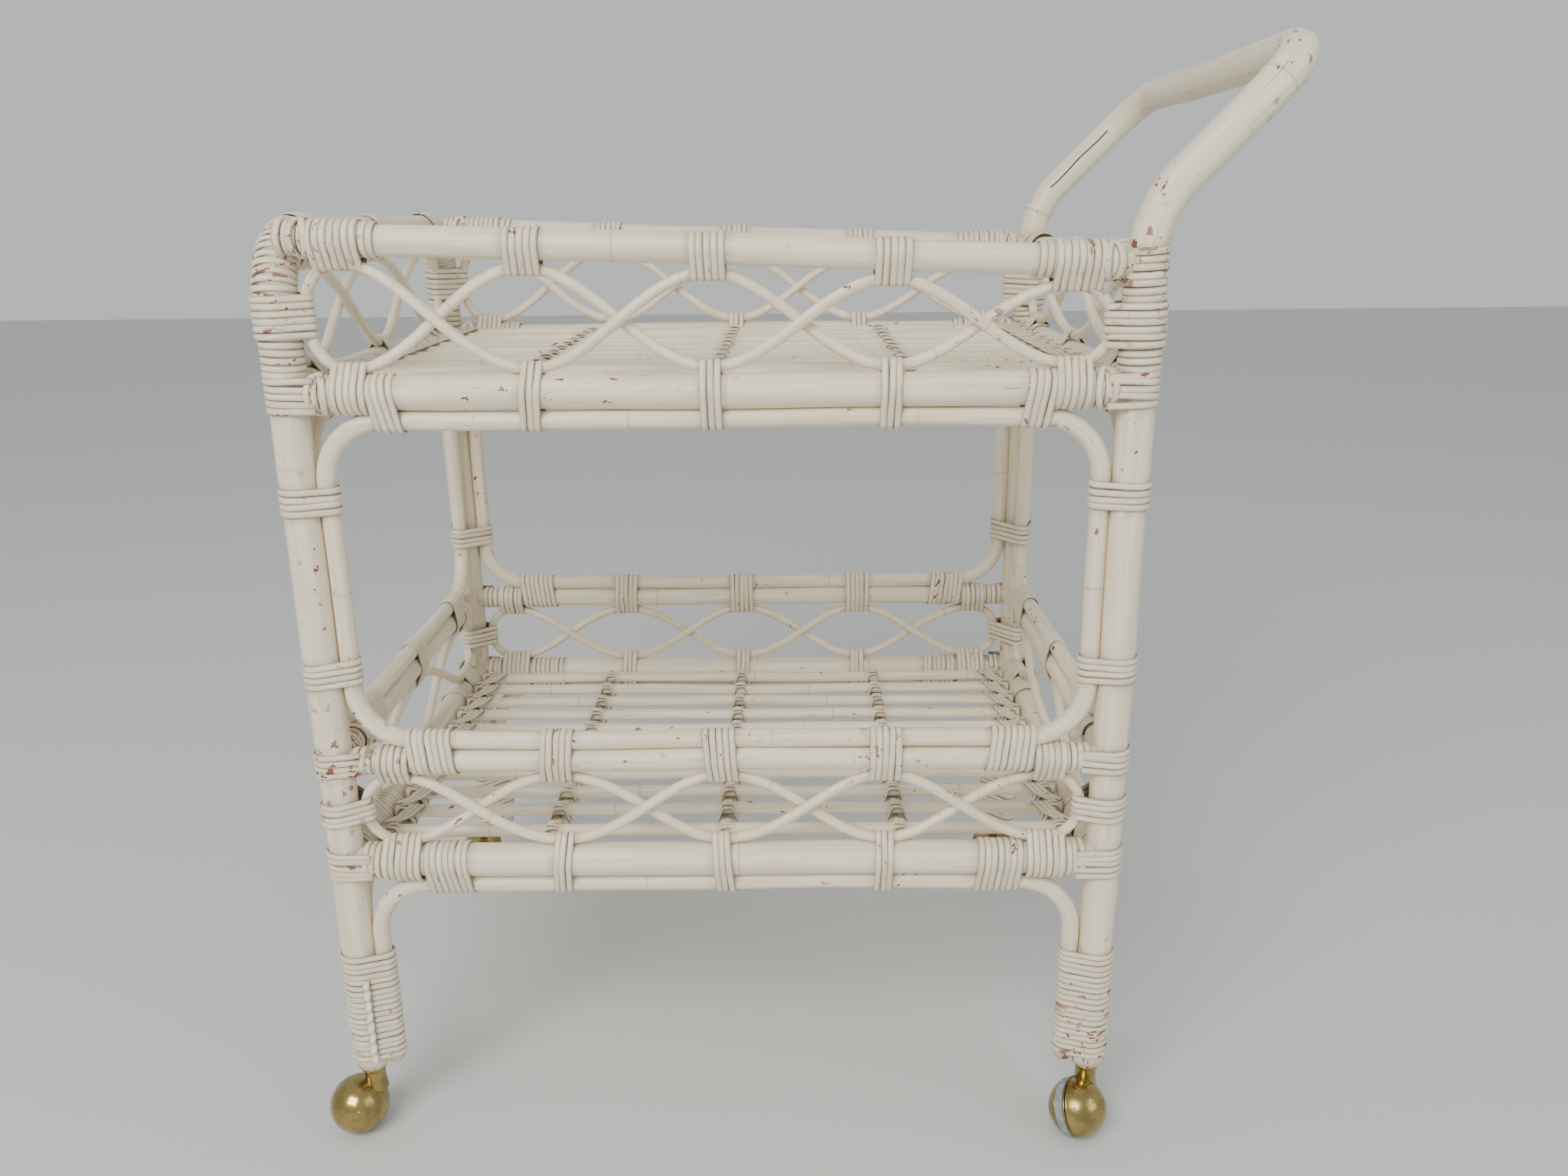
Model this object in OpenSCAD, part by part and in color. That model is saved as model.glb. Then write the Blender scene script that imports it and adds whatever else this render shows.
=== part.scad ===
// Two-tier rattan serving cart on four swivelling ball casters.
// Millimetres. +Z is up, +X points to the handle end and -Y is the front.
// Z = 0 is the floor, and the origin lies under the middle of the outer box.

/* [Frame] */
// Distance between the left and right post axes, along X
post_span_x = 630; // [560:5:760]
// Distance between the front and back post axes, along Y
post_span_y = 440; // [400:5:540]
// Diameter of the end poles, which are the posts and the handle
post_d = 28.5; // [26:0.5:30]
// Radius of the bends at the top of the left end pole
corner_bend_r = 45; // [42:1:60]

/* [Heights] */
// Floor to the underside of the posts
leg_z = 66; // [65:1:80]
// Floor to the axis of the shelf rails
shelf_z = 266; // [250:1:290]
// Floor to the axis of the gallery rails above the shelf
gallery_z = 357; // [345:1:380]
// Floor to the axis of the tray rails
tray_z = 655; // [600:5:700]
// Height of the top rails above the tray rails at the left end
top_rise_left = 112; // [100:1:130]
// Height of the top rails above the tray rails at the handle end
top_rise_right = 90; // [80:1:110]

/* [Handle] */
// Radius of the bend where each post leans out into an arm
arm_bend_r = 80; // [70:1:110]
// Lean of the arms from vertical, in degrees
arm_lean = 45; // [35:1:60]
// Length along an arm from its bend to the axis of the grip
arm_reach = 119; // [100:1:170]
// Radius of the bends between the arms and the grip
grip_bend_r = 50; // [35:1:70]

/* [Poles] */
// Diameter of the top rails
top_rail_d = 22.5; // [20:0.5:24]
// Diameter of the tray rails
tray_rail_d = 26; // [22:0.5:27]
// Diameter of the gallery rails
gallery_rail_d = 20; // [18:0.5:22]
// Diameter of the shelf rails
shelf_rail_d = 28; // [24:0.5:28]
// Diameter of the brace loops
loop_d = 15; // [13:0.5:16]
// Diameter of the leg braces
brace_d = 14.5; // [13:0.5:16]
// Bend radius of the loops and leg braces
brace_bend_r = 47; // [40:1:55]

/* [Wave galleries] */
// Diameter of the wave strands
wave_d = 8.5; // [7:0.5:9]
// Half wavelengths between the outer crests, front and back
long_half_waves = 4; // [4:2:6]
// Half wavelengths between the outer crests, on the two ends
short_half_waves = 2; // [2:2:4]

/* [Slats] */
// Diameter of the slats
slat_d = 11; // [9:0.5:12]
// Slats on each level
slat_count = 11; // [9:2:13]
// Diameter of the rods under the slats
rod_d = 8; // [7:0.5:8.5]
// Distance from the middle of the cart to the outer pairs of rods
rod_pair_x = 150; // [120:5:180]

/* [Cane] */
// Thickness of the cane on the poles
cane_t = 2; // [1.5:0.1:2]
// Length of a tie round a rail
tie_w = 18; // [12:1:18]
// Length of a tie round a post
post_tie_w = 24; // [16:1:24]
// Top of the foot bindings above the floor
foot_binding_top = 178; // [140:1:180]

/* [Casters] */
// Diameter of the tread, which is the rolling diameter
ball_d = 50.8; // [48:0.1:52]
// Distance the ball centre trails behind the swivel axis
trail = 16; // [14:0.5:17]
// Lean of the wheel axle from horizontal, in degrees
axle_lean = 22; // [20:1:25]
// Swivel angle of each caster at rest: front left
swivel_front_left = 18; // [-90:1:90]
// Front right
swivel_front_right = 58; // [-90:1:90]
// Back left
swivel_back_left = -10; // [-90:1:90]
// Back right
swivel_back_right = -50; // [-90:1:90]

/* [Hidden] */
$fn = 48;

// Gap left between one pole and the next
pole_gap = 0.1;
// Gap left between a top rail, which slopes, and a post
slope_gap = 0.6;
// Gap between the cane and the pole inside it
cane_gap = 0.1;
// Gap between two faces that turn against each other
run_gap = 0.3;
// Gap round a shaft that turns in its bore, and round one that is fixed in it
shaft_gap = 0.1;
pin_gap = 0.05;
// How far a bore or a cut runs past a face
over = 1;
// How far inside the tangents the straight sides of a belt lie
belt_inset = 0.04;
// The arm bends' step in radius, and the angle that each end is sunk
bend_step = 0.05;
bend_sink = 0.3;

// Half spans to the post axes, and the poles' radii
half_x = post_span_x / 2;
half_y = post_span_y / 2;
post_r = post_d / 2;
top_r = top_rail_d / 2;
tray_r = tray_rail_d / 2;
gallery_r = gallery_rail_d / 2;
shelf_r = shelf_rail_d / 2;
loop_r = loop_d / 2;
brace_r = brace_d / 2;
wave_r = wave_d / 2;
slat_r = slat_d / 2;
rod_r = rod_d / 2;
ball_r = ball_d / 2;

// Heights of the top rails at each end
top_left_z = tray_z + top_rise_left;
top_right_z = tray_z + top_rise_right;

// The sloping top rails: half length and fall towards the handle
top_half = half_x - post_r - slope_gap;
top_slope = atan((top_left_z - top_right_z) / (2 * top_half));

// Handle: start of the arm bend, and axis of the grip
arm_z = top_right_z + 3;
grip_x = half_x + arm_bend_r * (1 - cos(arm_lean)) + arm_reach * sin(arm_lean);

// Puts the middle of the outer box over the origin
shift_x = -(grip_x + post_r - half_x - trail - ball_r) / 2;

// Brace loops: axes of the runs under the tray rail and over the gallery rail
loop_high_z = tray_z - tray_r - loop_r - pole_gap;
loop_low_z = gallery_z + gallery_r + loop_r + pole_gap;
loop_inset = post_r + loop_r + pole_gap;

// Leg braces: axis of the run under the shelf rail, and distance from a post
brace_high_z = shelf_z - shelf_r - brace_r - pole_gap;
brace_inset = post_r + brace_r + pole_gap;
brace_bottom_z = leg_z + 4;

// Wave galleries: the eyes stop short of the posts by this much
wave_inset = post_r + cane_t + wave_r + 4 * pole_gap;
// Half width of the round end of an eye: long sides, then short sides
long_eye_end = 28;
short_eye_end = 35;
// Half distance between the two strands where they cross
weave = wave_r + 2 * pole_gap;
// Wave crest and trough axes
upper_low_z = tray_z + tray_r + wave_r + pole_gap;
lower_low_z = shelf_z + shelf_r + wave_r + pole_gap;
lower_high_z = gallery_z - gallery_r - wave_r - pole_gap;
// Sides of the strand's polygon, and rings per half wave and per round end
strand_sides = 8;
rings_per_half_wave = 10;
rings_per_end = 6;

// Slats and rods
slat_margin = 40;
slat_pitch = (post_span_y - 2 * slat_margin) / (slat_count - 1);
slat_lift = 6;
rod_drop = slat_r + rod_r + pole_gap - slat_lift;
rail_clear = cane_t + 4 * pole_gap;

// Cane: sleeves at the rail ends, bands round the posts
sleeve_w = 12;
post_band_w = 18;
foot_binding_low = leg_z + 10;
post_tie_high_z = loop_high_z - brace_bend_r - 13.4;
post_tie_low_z = loop_low_z + brace_bend_r + 13.4;

// Casters: brass skin, stem, socket, axle
skin_t = 2.2;
brass_r = ball_r - 0.4;
stem_r = 3.9;
stem_top_z = leg_z + 38;
socket_bore_r = stem_r + shaft_gap;
socket_r = 6;
socket_h = 42;
flange_r = 11;
flange_t = 1.5;
neck_top_z = leg_z - flange_t - 2 * run_gap;
neck_low_z = ball_r + 14;
neck_top_r = 9;
neck_low_r = 11;
seat_low_z = ball_r + 21;
axle_r = 3;
boss_r = 6.5;
axle_in = 19;
axle_out = 11;
hub_r = 6.5;
// Distances along the axle from the ball centre: hood edge, wheel face, tread
hood_edge = 1.2;
wheel_face = -0.2;
tread_near = -2.4;
tread_far = -10.4;
tread_seat_r = 20.5;
rim_r = 24.6;

// ---- Helpers for poles ----

// Moves a part drawn about the middle of the four posts to its place.
module place() {
    translate([shift_x, 0, 0]) children();
}

// A straight pole along X, centred on the origin.
module pole_x(length, radius) {
    rotate([0, 90, 0]) cylinder(h = length, r = radius, center = true);
}

// A straight pole along Y, centred on the origin.
module pole_y(length, radius) {
    rotate([90, 0, 0]) cylinder(h = length, r = radius, center = true);
}

// A bent pole in the XZ plane, about the origin, from angle start to start + turn.
module bend(bend_r, radius, start, turn) {
    rotate([90, 0, 0]) rotate([0, 0, start])
        rotate_extrude(angle = turn) translate([bend_r, 0]) circle(r = radius);
}

// Half of a hoop in the XZ plane: a leg, a bend and half of the run at run_z.
module half_hoop(half_w, end_z, run_z, bend_r, radius) {
    up = sign(run_z - end_z);
    bend_z = run_z - up * bend_r;
    leg_h = abs(bend_z - end_z);
    translate([half_w, 0, min(bend_z, end_z)]) cylinder(h = leg_h, r = radius);
    translate([half_w - bend_r, 0, bend_z])
        bend(bend_r, radius, up > 0 ? 0 : 270, 90);
    translate([(half_w - bend_r) / 2, 0, run_z]) pole_x(half_w - bend_r, radius);
}

// A hoop: two legs from end_z, joined by a run at run_z.
module hoop(half_w, end_z, run_z, bend_r, radius) {
    for (side = [0, 1])
        mirror([side, 0, 0]) half_hoop(half_w, end_z, run_z, bend_r, radius);
}

// Puts a part drawn in the XZ plane on one side: 0 front, 1 back, 2 left, 3 right.
module on_side(side) {
    if (side < 2)
        translate([0, side == 0 ? -half_y : half_y, 0]) children();
    else
        translate([side == 2 ? -half_x : half_x, 0, 0]) rotate([0, 0, 90]) children();
}

// Half of the distance between the posts on a side.
function half_of(side) = side < 2 ? half_x : half_y;

// Copies a part drawn for the front left post to all four, mirrored to face inwards.
module at_posts() {
    for (mx = [0, 1], my = [0, 1])
        mirror([mx, 0, 0]) mirror([0, my, 0]) translate([-half_x, -half_y, 0]) children();
}

// ---- End poles ----

// Bore in the underside of the front post for a caster socket.
module socket_bore(x) {
    translate([x, -half_y, leg_z - over])
        cylinder(h = socket_h + 2 + over, r = socket_r + pole_gap);
}

module left_end_pole() {
    color("Ivory") place() difference() {
        translate([-half_x, 0, 0]) rotate([0, 0, 90])
            hoop(half_y, leg_z, top_left_z, corner_bend_r, post_r);
        for (my = [0, 1]) mirror([0, my, 0]) socket_bore(-half_x);
    }
}

// The handle above the posts, in a frame that leans with the arms and starts at the
// centre line of their bends. Each bend is a hair thinner and sunk into its neighbours.
module leaning_handle() {
    arm_straight = arm_reach - grip_bend_r;
    for (my = [0, 1]) mirror([0, my, 0]) {
        translate([0, -half_y, 0])
            bend(arm_bend_r, post_r - bend_step, 180 - bend_sink, arm_lean + 2 * bend_sink);
        translate([-arm_bend_r, -half_y, 0]) cylinder(h = arm_straight, r = post_r);
        translate([-arm_bend_r, grip_bend_r - half_y, arm_straight]) rotate([0, 0, 90])
            bend(grip_bend_r, post_r, 90, 90);
    }
    translate([-arm_bend_r, 0, arm_reach]) pole_y(post_span_y - 2 * grip_bend_r, post_r);
}

module handle_pole() {
    color("Ivory") place() difference() {
        union() {
            for (my = [0, 1]) mirror([0, my, 0])
                translate([half_x, -half_y, leg_z]) cylinder(h = arm_z - leg_z, r = post_r);
            translate([half_x + arm_bend_r, 0, arm_z]) rotate([0, arm_lean, 0])
                leaning_handle();
        }
        for (my = [0, 1]) mirror([0, my, 0]) socket_bore(half_x);
    }
}

// ---- Rails ----

// A rail between two posts, square cut just short of them.
module rail(side, z, radius) {
    length = 2 * (half_of(side) - post_r - pole_gap);
    color("Ivory") place() on_side(side) translate([0, 0, z]) pole_x(length, radius);
}

// A long top rail, which falls from the left end to the handle end.
module sloping_rail(side) {
    color("Ivory") place() on_side(side)
        translate([0, 0, (top_left_z + top_right_z) / 2]) rotate([0, top_slope, 0])
            pole_x(2 * top_half, top_r);
}

module top_rail_front() { sloping_rail(0); }
module top_rail_back() { sloping_rail(1); }
module top_rail_right() { rail(3, top_right_z, top_r); }
module tray_rail_front() { rail(0, tray_z, tray_r); }
module tray_rail_back() { rail(1, tray_z, tray_r); }
module tray_rail_left() { rail(2, tray_z, tray_r); }
module tray_rail_right() { rail(3, tray_z, tray_r); }
module gallery_rail_front() { rail(0, gallery_z, gallery_r); }
module gallery_rail_back() { rail(1, gallery_z, gallery_r); }
module gallery_rail_left() { rail(2, gallery_z, gallery_r); }
module gallery_rail_right() { rail(3, gallery_z, gallery_r); }
module shelf_rail_front() { rail(0, shelf_z, shelf_r); }
module shelf_rail_back() { rail(1, shelf_z, shelf_r); }
module shelf_rail_left() { rail(2, shelf_z, shelf_r); }
module shelf_rail_right() { rail(3, shelf_z, shelf_r); }

// ---- Brace loops between the tray and the gallery rail ----

module brace_loop(side) {
    half_w = half_of(side) - loop_inset;
    middle_z = (loop_low_z + loop_high_z) / 2;
    color("Ivory") place() on_side(side) {
        hoop(half_w, middle_z, loop_high_z, brace_bend_r, loop_r);
        hoop(half_w, middle_z, loop_low_z, brace_bend_r, loop_r);
    }
}

module brace_loop_front() { brace_loop(0); }
module brace_loop_back() { brace_loop(1); }
module brace_loop_left() { brace_loop(2); }
module brace_loop_right() { brace_loop(3); }

// ---- Leg braces under the shelf rails ----

module leg_brace(side) {
    color("Ivory") place() on_side(side)
        hoop(half_of(side) - brace_inset, brace_bottom_z, brace_high_z,
            brace_bend_r, brace_r);
}

module leg_brace_front() { leg_brace(0); }
module leg_brace_back() { leg_brace(1); }
module leg_brace_left() { leg_brace(2); }
module leg_brace_right() { leg_brace(3); }

// ---- Wave galleries ----

// Axis of a point on a wave: up is 1 on the strand that starts high, -1 on the other.
// crest is the distance from the middle to the outer crest, and high has one height
// for each end of the side.
function wave_point(x, up, crest, eye_end, waves, low, high) =
    let(
        part = (x + crest + eye_end) / (2 * (crest + eye_end)),
        top = high[0] + (high[1] - high[0]) * part,
        past = max(0, abs(x) - crest) / eye_end,
        phase = 90 * waves * (x + crest) / crest,
        swing = past > 0 ? sqrt(max(0, 1 - past * past)) : cos(phase),
        across = past > 0 ? 0 : pow(sin(phase), 2) * weave * (x < 0 ? -1 : 1)
    )
    [x, up * across, (low + top) / 2 + up * swing * (top - low) / 2];

// Stations along a side, from one end of the gallery to the other.
function wave_stations(crest, eye_end, waves) = concat(
    [for (i = [0 : rings_per_end - 1]) -crest - eye_end * cos(90 * i / rings_per_end)],
    [for (i = [0 : waves * rings_per_half_wave])
        -crest + 2 * crest * i / (waves * rings_per_half_wave)],
    [for (i = [rings_per_end - 1 : -1 : 0])
        crest + eye_end * cos(90 * i / rings_per_end)]
);

function unit(v) = v / norm(v);

// Points of the ring round a closed path at one of its points.
function ring(path, i, radius) =
    let(
        count = len(path),
        along = unit(path[(i + 1) % count] - path[(i + count - 1) % count]),
        up = unit(cross(along, [0, 1, 0])),
        side = cross(up, along)
    )
    [for (j = [0 : strand_sides - 1])
        let(a = 360 * j / strand_sides)
        path[i] + radius * (cos(a) * up + sin(a) * side)];

// A gallery: two mirrored strands, joined in a round eye at each end.
module wave(side, low, high, waves, eye_end) {
    crest = half_of(side) - wave_inset - eye_end;
    stations = wave_stations(crest, eye_end, waves);
    last = len(stations) - 1;
    path = concat(
        [for (i = [0 : last])
            wave_point(stations[i], 1, crest, eye_end, waves, low, high)],
        [for (i = [last - 1 : -1 : 1])
            wave_point(stations[i], -1, crest, eye_end, waves, low, high)]
    );
    rings = len(path);
    points = [for (i = [0 : rings - 1]) each ring(path, i, wave_r)];
    faces = [for (i = [0 : rings - 1], j = [0 : strand_sides - 1])
        let(
            a = i * strand_sides + j,
            b = i * strand_sides + (j + 1) % strand_sides,
            c = ((i + 1) % rings) * strand_sides + (j + 1) % strand_sides,
            d = ((i + 1) % rings) * strand_sides + j
        )
        each [[a, b, c], [a, c, d]]];
    color("Ivory") place() on_side(side)
        polyhedron(points = points, faces = faces, convexity = 10);
}

// Height of a wave crest's axis under a rail.
function under(z, radius) = z - radius - wave_r - pole_gap;

module upper_wave(side) {
    left = under(top_left_z, side == 2 ? post_r : top_r + 0.1);
    right = under(top_right_z, top_r + 0.1);
    high = side < 2 ? [left, right] : side == 2 ? [left, left] : [right, right];
    wave(side, upper_low_z, high, waves_of(side), eye_end_of(side));
}

module lower_wave(side) {
    wave(side, lower_low_z, [lower_high_z, lower_high_z], waves_of(side), eye_end_of(side));
}

module upper_wave_front() { upper_wave(0); }
module upper_wave_back() { upper_wave(1); }
module upper_wave_left() { upper_wave(2); }
module upper_wave_right() { upper_wave(3); }
module lower_wave_front() { lower_wave(0); }
module lower_wave_back() { lower_wave(1); }
module lower_wave_left() { lower_wave(2); }
module lower_wave_right() { lower_wave(3); }

// ---- Slats and the rods under them ----

// Round slats along the cart, between the two end rails.
module slats(z, rail_r) {
    length = 2 * (half_x - rail_r - rail_clear);
    color("Ivory") place()
        for (i = [0 : slat_count - 1])
            translate([0, (i - (slat_count - 1) / 2) * slat_pitch, z + slat_lift])
                pole_x(length, slat_r);
}

// X positions of the rods: three pairs across the cart, and a pair at each end.
function rod_positions(rail_r) =
    let(
        beside = rod_r + pole_gap,
        end_x = half_x - rail_r - rail_clear - cane_t - pole_gap - rod_r
    )
    [for (middle = [-end_x + beside, -rod_pair_x, 0, rod_pair_x, end_x - beside])
        each [middle - beside, middle + beside]];

// Rods across the cart that carry the slats.
module rods(z, rail_r) {
    length = 2 * (half_y - rail_r - rail_clear);
    color("Ivory") place()
        for (x = rod_positions(rail_r))
            translate([x, 0, z - rod_drop]) pole_y(length, rod_r);
}

module tray_slats() { slats(tray_z, tray_r); }
module tray_rods() { rods(tray_z, tray_r); }
module shelf_slats() { slats(shelf_z, shelf_r); }
module shelf_rods() { rods(shelf_z, shelf_r); }

// ---- Cane ----

// Outline round two circles, each [x, y, radius], grown by a distance. Its straight
// sides are a hair inside the tangents, so that they cut the circles cleanly.
module belt(a, b, grow) {
    ra = a[2] + grow;
    rb = b[2] + grow;
    toward = atan2(b[1] - a[1], b[0] - a[0]);
    tangent = acos((ra - rb) / norm([b[0] - a[0], b[1] - a[1]]));
    translate([a[0], a[1]]) circle(r = ra);
    translate([b[0], b[1]]) circle(r = rb);
    polygon([
        rim_point(a, ra, toward + tangent), rim_point(a, ra, toward - tangent),
        rim_point(b, rb, toward - tangent), rim_point(b, rb, toward + tangent)
    ]);
}

function rim_point(centre, radius, angle) =
    [centre[0], centre[1]] + (radius - belt_inset) * [cos(angle), sin(angle)];

// Outline round a run of circles, each with the next.
module belts(circles, grow) {
    for (i = [0 : len(circles) - 2]) belt(circles[i], circles[i + 1], grow);
}

// A band of cane round poles that pass through the XY plane, width along Z.
module band(circles, width) {
    linear_extrude(height = width, center = true) difference() {
        belts(circles, cane_gap + cane_t);
        belts(circles, cane_gap);
    }
}

// A plain sleeve of cane on one pole along Z.
module sleeve(radius, width) {
    linear_extrude(height = width, center = true) difference() {
        circle(r = radius + cane_gap + cane_t);
        circle(r = radius + cane_gap);
    }
}

// The same band round three poles in an L: a post and one pole along X and along Y.
module corner_band(post, other, inset, width) {
    along_x = [inset, 0, other];
    along_y = [0, inset, other];
    middle = [0, 0, post];
    linear_extrude(height = width, center = true) difference() {
        union() {
            belts([along_x, middle, along_y, along_x], cane_gap + cane_t);
            polygon([[0, 0], [inset, 0], [0, inset]]);
        }
        belts([along_x, middle, along_y, along_x], cane_gap);
        polygon([[0, 0], [inset, 0], [0, inset]]);
    }
}

// Cane round a post at a rail joint, open towards the two rails.
module joint_band() {
    linear_extrude(height = post_band_w, center = true) difference() {
        circle(r = post_r + cane_gap + cane_t);
        circle(r = post_r + cane_gap);
        square(2 * post_d);
        translate([post_r, -post_d]) square(2 * post_d);
        translate([-post_d, post_r]) square(2 * post_d);
    }
}

// Full wraps above the tray on all four posts, and bands at the rail joints.
module post_wraps() {
    wrap_low_z = tray_z + tray_r + rail_clear;
    left_top_z = top_left_z - corner_bend_r - over;
    right_top_z = top_right_z - top_r - rail_clear;
    color("Linen") place() {
        for (mx = [0, 1], my = [0, 1]) {
            top_z = mx == 0 ? left_top_z : right_top_z;
            mirror([mx, 0, 0]) mirror([0, my, 0])
                translate([-half_x, -half_y, (wrap_low_z + top_z) / 2])
                    sleeve(post_r, top_z - wrap_low_z);
        }
        at_posts()
            for (z = [tray_z, gallery_z, shelf_z]) translate([0, 0, z]) joint_band();
    }
}

// Sleeve on one end of a rail, both ends of the side.
module end_sleeves(side, z, radius) {
    from_post = max(post_r + over, radius + cane_t + 5 * pole_gap) + sleeve_w / 2;
    place() on_side(side)
        for (mx = [0, 1]) mirror([mx, 0, 0])
            translate([half_of(side) - from_post, 0, z]) rotate([0, 90, 0])
                sleeve(radius, sleeve_w);
}

// Sleeve on both ends of a sloping top rail.
module sloping_end_sleeves(side) {
    from_middle = top_half - over - sleeve_w / 2;
    place() on_side(side)
        translate([0, 0, (top_left_z + top_right_z) / 2]) rotate([0, top_slope, 0])
            for (mx = [0, 1]) mirror([mx, 0, 0])
                translate([from_middle, 0, 0]) rotate([0, 90, 0])
                    sleeve(top_r, sleeve_w);
}

module rail_end_wraps() {
    color("Linen") {
        for (side = [0, 1]) sloping_end_sleeves(side);
        end_sleeves(3, top_right_z, top_r);
        for (side = [0 : 3]) {
            end_sleeves(side, tray_z, tray_r);
            end_sleeves(side, gallery_z, gallery_r);
            end_sleeves(side, shelf_z, shelf_r);
        }
    }
}

// A tie at x round poles along a side. Each pole is [0, height, radius].
module tie(x, poles) {
    translate([x, 0, 0]) rotate([90, 0, 90]) band(poles, tie_w);
}

// A tie open where its rail and the bend of the next pole pinch it.
module pinched_tie(x, poles, rail, pole) {
    away = sign(pole[1] - rail[1]);
    difference() {
        tie(x, poles);
        translate([x, 0, rail[1] + away * rail[2]])
            cube([tie_w + 2 * over, 2 * pole[2], 2 * rail[2]], center = true);
    }
}

// Outer crest and half wave of a side.
function crest_of(side) =
    half_of(side) - wave_inset - eye_end_of(side);
function eye_end_of(side) = side < 2 ? long_eye_end : short_eye_end;
function waves_of(side) = side < 2 ? long_half_waves : short_half_waves;

// Slack that a tie needs for the round end of an eye, which falls back within the tie.
// depth and half are the half sizes of the end along and across the way it points.
function end_slack(depth, half, reach) =
    let(
        level = sqrt(1 - pow(reach / half, 2)),
        slope = depth * reach / (half * half * level),
        fall_back = depth * (1 - level),
        slant = wave_r * (sqrt(1 + slope * slope) - 1)
    )
    (fall_back + slant) / 2 + pole_gap;

// Slack circle round a wave strand that leaves its rail in direction away.
function strand(side, z, away, rise) =
    let(slack = end_slack(rise, eye_end_of(side), tie_w / 2))
    [0, z + away * slack, wave_r + slack];

// Distance from a crest at which a wave strand clears the cane on its rail.
function crest_clear(side, rise) =
    2 * crest_of(side) / waves_of(side) * acos(1 - (rail_clear + pole_gap) / rise) / 180;

// Ties along one level: strand, rail and the pole on the rail's other side. rise is
// half the height of the waves.
module tie_row(side, strand_z, rise, rail_circle, pole_circle, run_half) {
    crest = crest_of(side);
    waves = waves_of(side);
    away = sign(strand_z - rail_circle[1]);
    strand_circle = strand(side, strand_z, away, rise);
    rail_tie_x = min(run_half - tie_w / 2 + 3, crest - crest_clear(side, rise) - tie_w / 2);
    place() on_side(side) {
        for (i = [0 : waves]) {
            x = -crest + 2 * crest * i / waves;
            if (abs(x) + tie_w < run_half)
                tie(x, [strand_circle, rail_circle, pole_circle]);
            else
                pinched_tie(x, [strand_circle, rail_circle], rail_circle, pole_circle);
        }
        for (mx = [-1, 1])
            tie(mx * rail_tie_x, [rail_circle, pole_circle]);
    }
}

// Ties round a post and the round ends of the two galleries that meet there.
module gallery_post_tie(low_z, high_z, post) {
    depth = max(long_eye_end, short_eye_end);
    slack = end_slack(depth, (high_z - low_z) / 2, post_tie_w / 2);
    translate([0, 0, (low_z + high_z) / 2])
        corner_band(post, wave_r + slack, wave_inset + slack, post_tie_w);
}

module pole_ties() {
    color("Linen") {
        for (side = [0 : 3]) {
            crest = crest_of(side);
            waves = waves_of(side);
            loop_run = half_of(side) - loop_inset - brace_bend_r;
            brace_run = half_of(side) - brace_inset - brace_bend_r;
            upper_rise = (under(top_right_z, top_r) - upper_low_z) / 2;
            left_rise = (under(top_left_z, side == 2 ? post_r : top_r) - upper_low_z) / 2;
            lower_rise = (lower_high_z - lower_low_z) / 2;
            tie_row(side, upper_low_z, side == 3 ? upper_rise : left_rise,
                [0, tray_z, tray_r], [0, loop_high_z, loop_r], loop_run);
            tie_row(side, lower_high_z, lower_rise,
                [0, gallery_z, gallery_r], [0, loop_low_z, loop_r], loop_run);
            tie_row(side, lower_low_z, lower_rise,
                [0, shelf_z, shelf_r], [0, brace_high_z, brace_r], brace_run);
            place() on_side(side)
                for (i = [0 : waves]) {
                    x = -crest + 2 * crest * i / waves;
                    fall = (top_left_z - top_right_z) * (x + top_half) / (2 * top_half);
                    z = side < 2 ? top_left_z - fall
                        : side == 2 ? top_left_z : top_right_z;
                    radius = side == 2 ? post_r : top_r;
                    slack = radius + 4 * pole_gap;
                    rise = side == 3 ? upper_rise : left_rise;
                    tie(x, [strand(side, under(z, radius), -1, rise), [0, z, slack]]);
                }
        }
        place() {
            for (mx = [0, 1], my = [0, 1]) {
                high_z = mx == 0 ? under(top_left_z, post_r) : under(top_right_z, top_r);
                mirror([mx, 0, 0]) mirror([0, my, 0]) translate([-half_x, -half_y, 0])
                    gallery_post_tie(upper_low_z, high_z, post_r + cane_gap + cane_t);
            }
            at_posts() {
                gallery_post_tie(lower_low_z, lower_high_z, post_r);
                for (z = [post_tie_low_z, post_tie_high_z])
                    translate([0, 0, z])
                        corner_band(post_r, loop_r, loop_inset, post_tie_w);
            }
        }
    }
}

module foot_bindings() {
    color("Linen") place() at_posts()
        translate([0, 0, (foot_binding_low + foot_binding_top) / 2])
            corner_band(post_r, brace_r, brace_inset, foot_binding_top - foot_binding_low);
}

// Cane round each pair of rods, in the gaps between the slats.
module slat_bindings() {
    width = slat_pitch - slat_d - 5;
    color("Linen") place()
        for (level = [[tray_z, tray_r], [shelf_z, shelf_r]]) {
            xs = rod_positions(level[1]);
            for (pair = [0 : 4], gap = [0 : slat_count - 2])
                translate([0, (gap - slat_count / 2 + 1) * slat_pitch, level[0] - rod_drop])
                    rotate([90, 0, 0])
                        band([[xs[2 * pair], 0, rod_r], [xs[2 * pair + 1], 0, rod_r]], width);
        }
}

// ---- Casters ----

module caster_sockets() {
    color("Gainsboro") place() at_posts() {
        translate([0, 0, leg_z - flange_t - pole_gap]) difference() {
            union() {
                cylinder(h = flange_t, r = flange_r);
                cylinder(h = socket_h, r = socket_r);
            }
            translate([0, 0, -over])
                cylinder(h = socket_h + 2 * over, r = socket_bore_r);
        }
    }
}

// Moves a caster drawn on its swivel axis to a corner: -1 or 1 along X and Y.
module caster_at(sx, sy, swivel) {
    place() translate([sx * half_x, sy * half_y, 0]) rotate([0, 0, swivel]) children();
}

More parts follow.
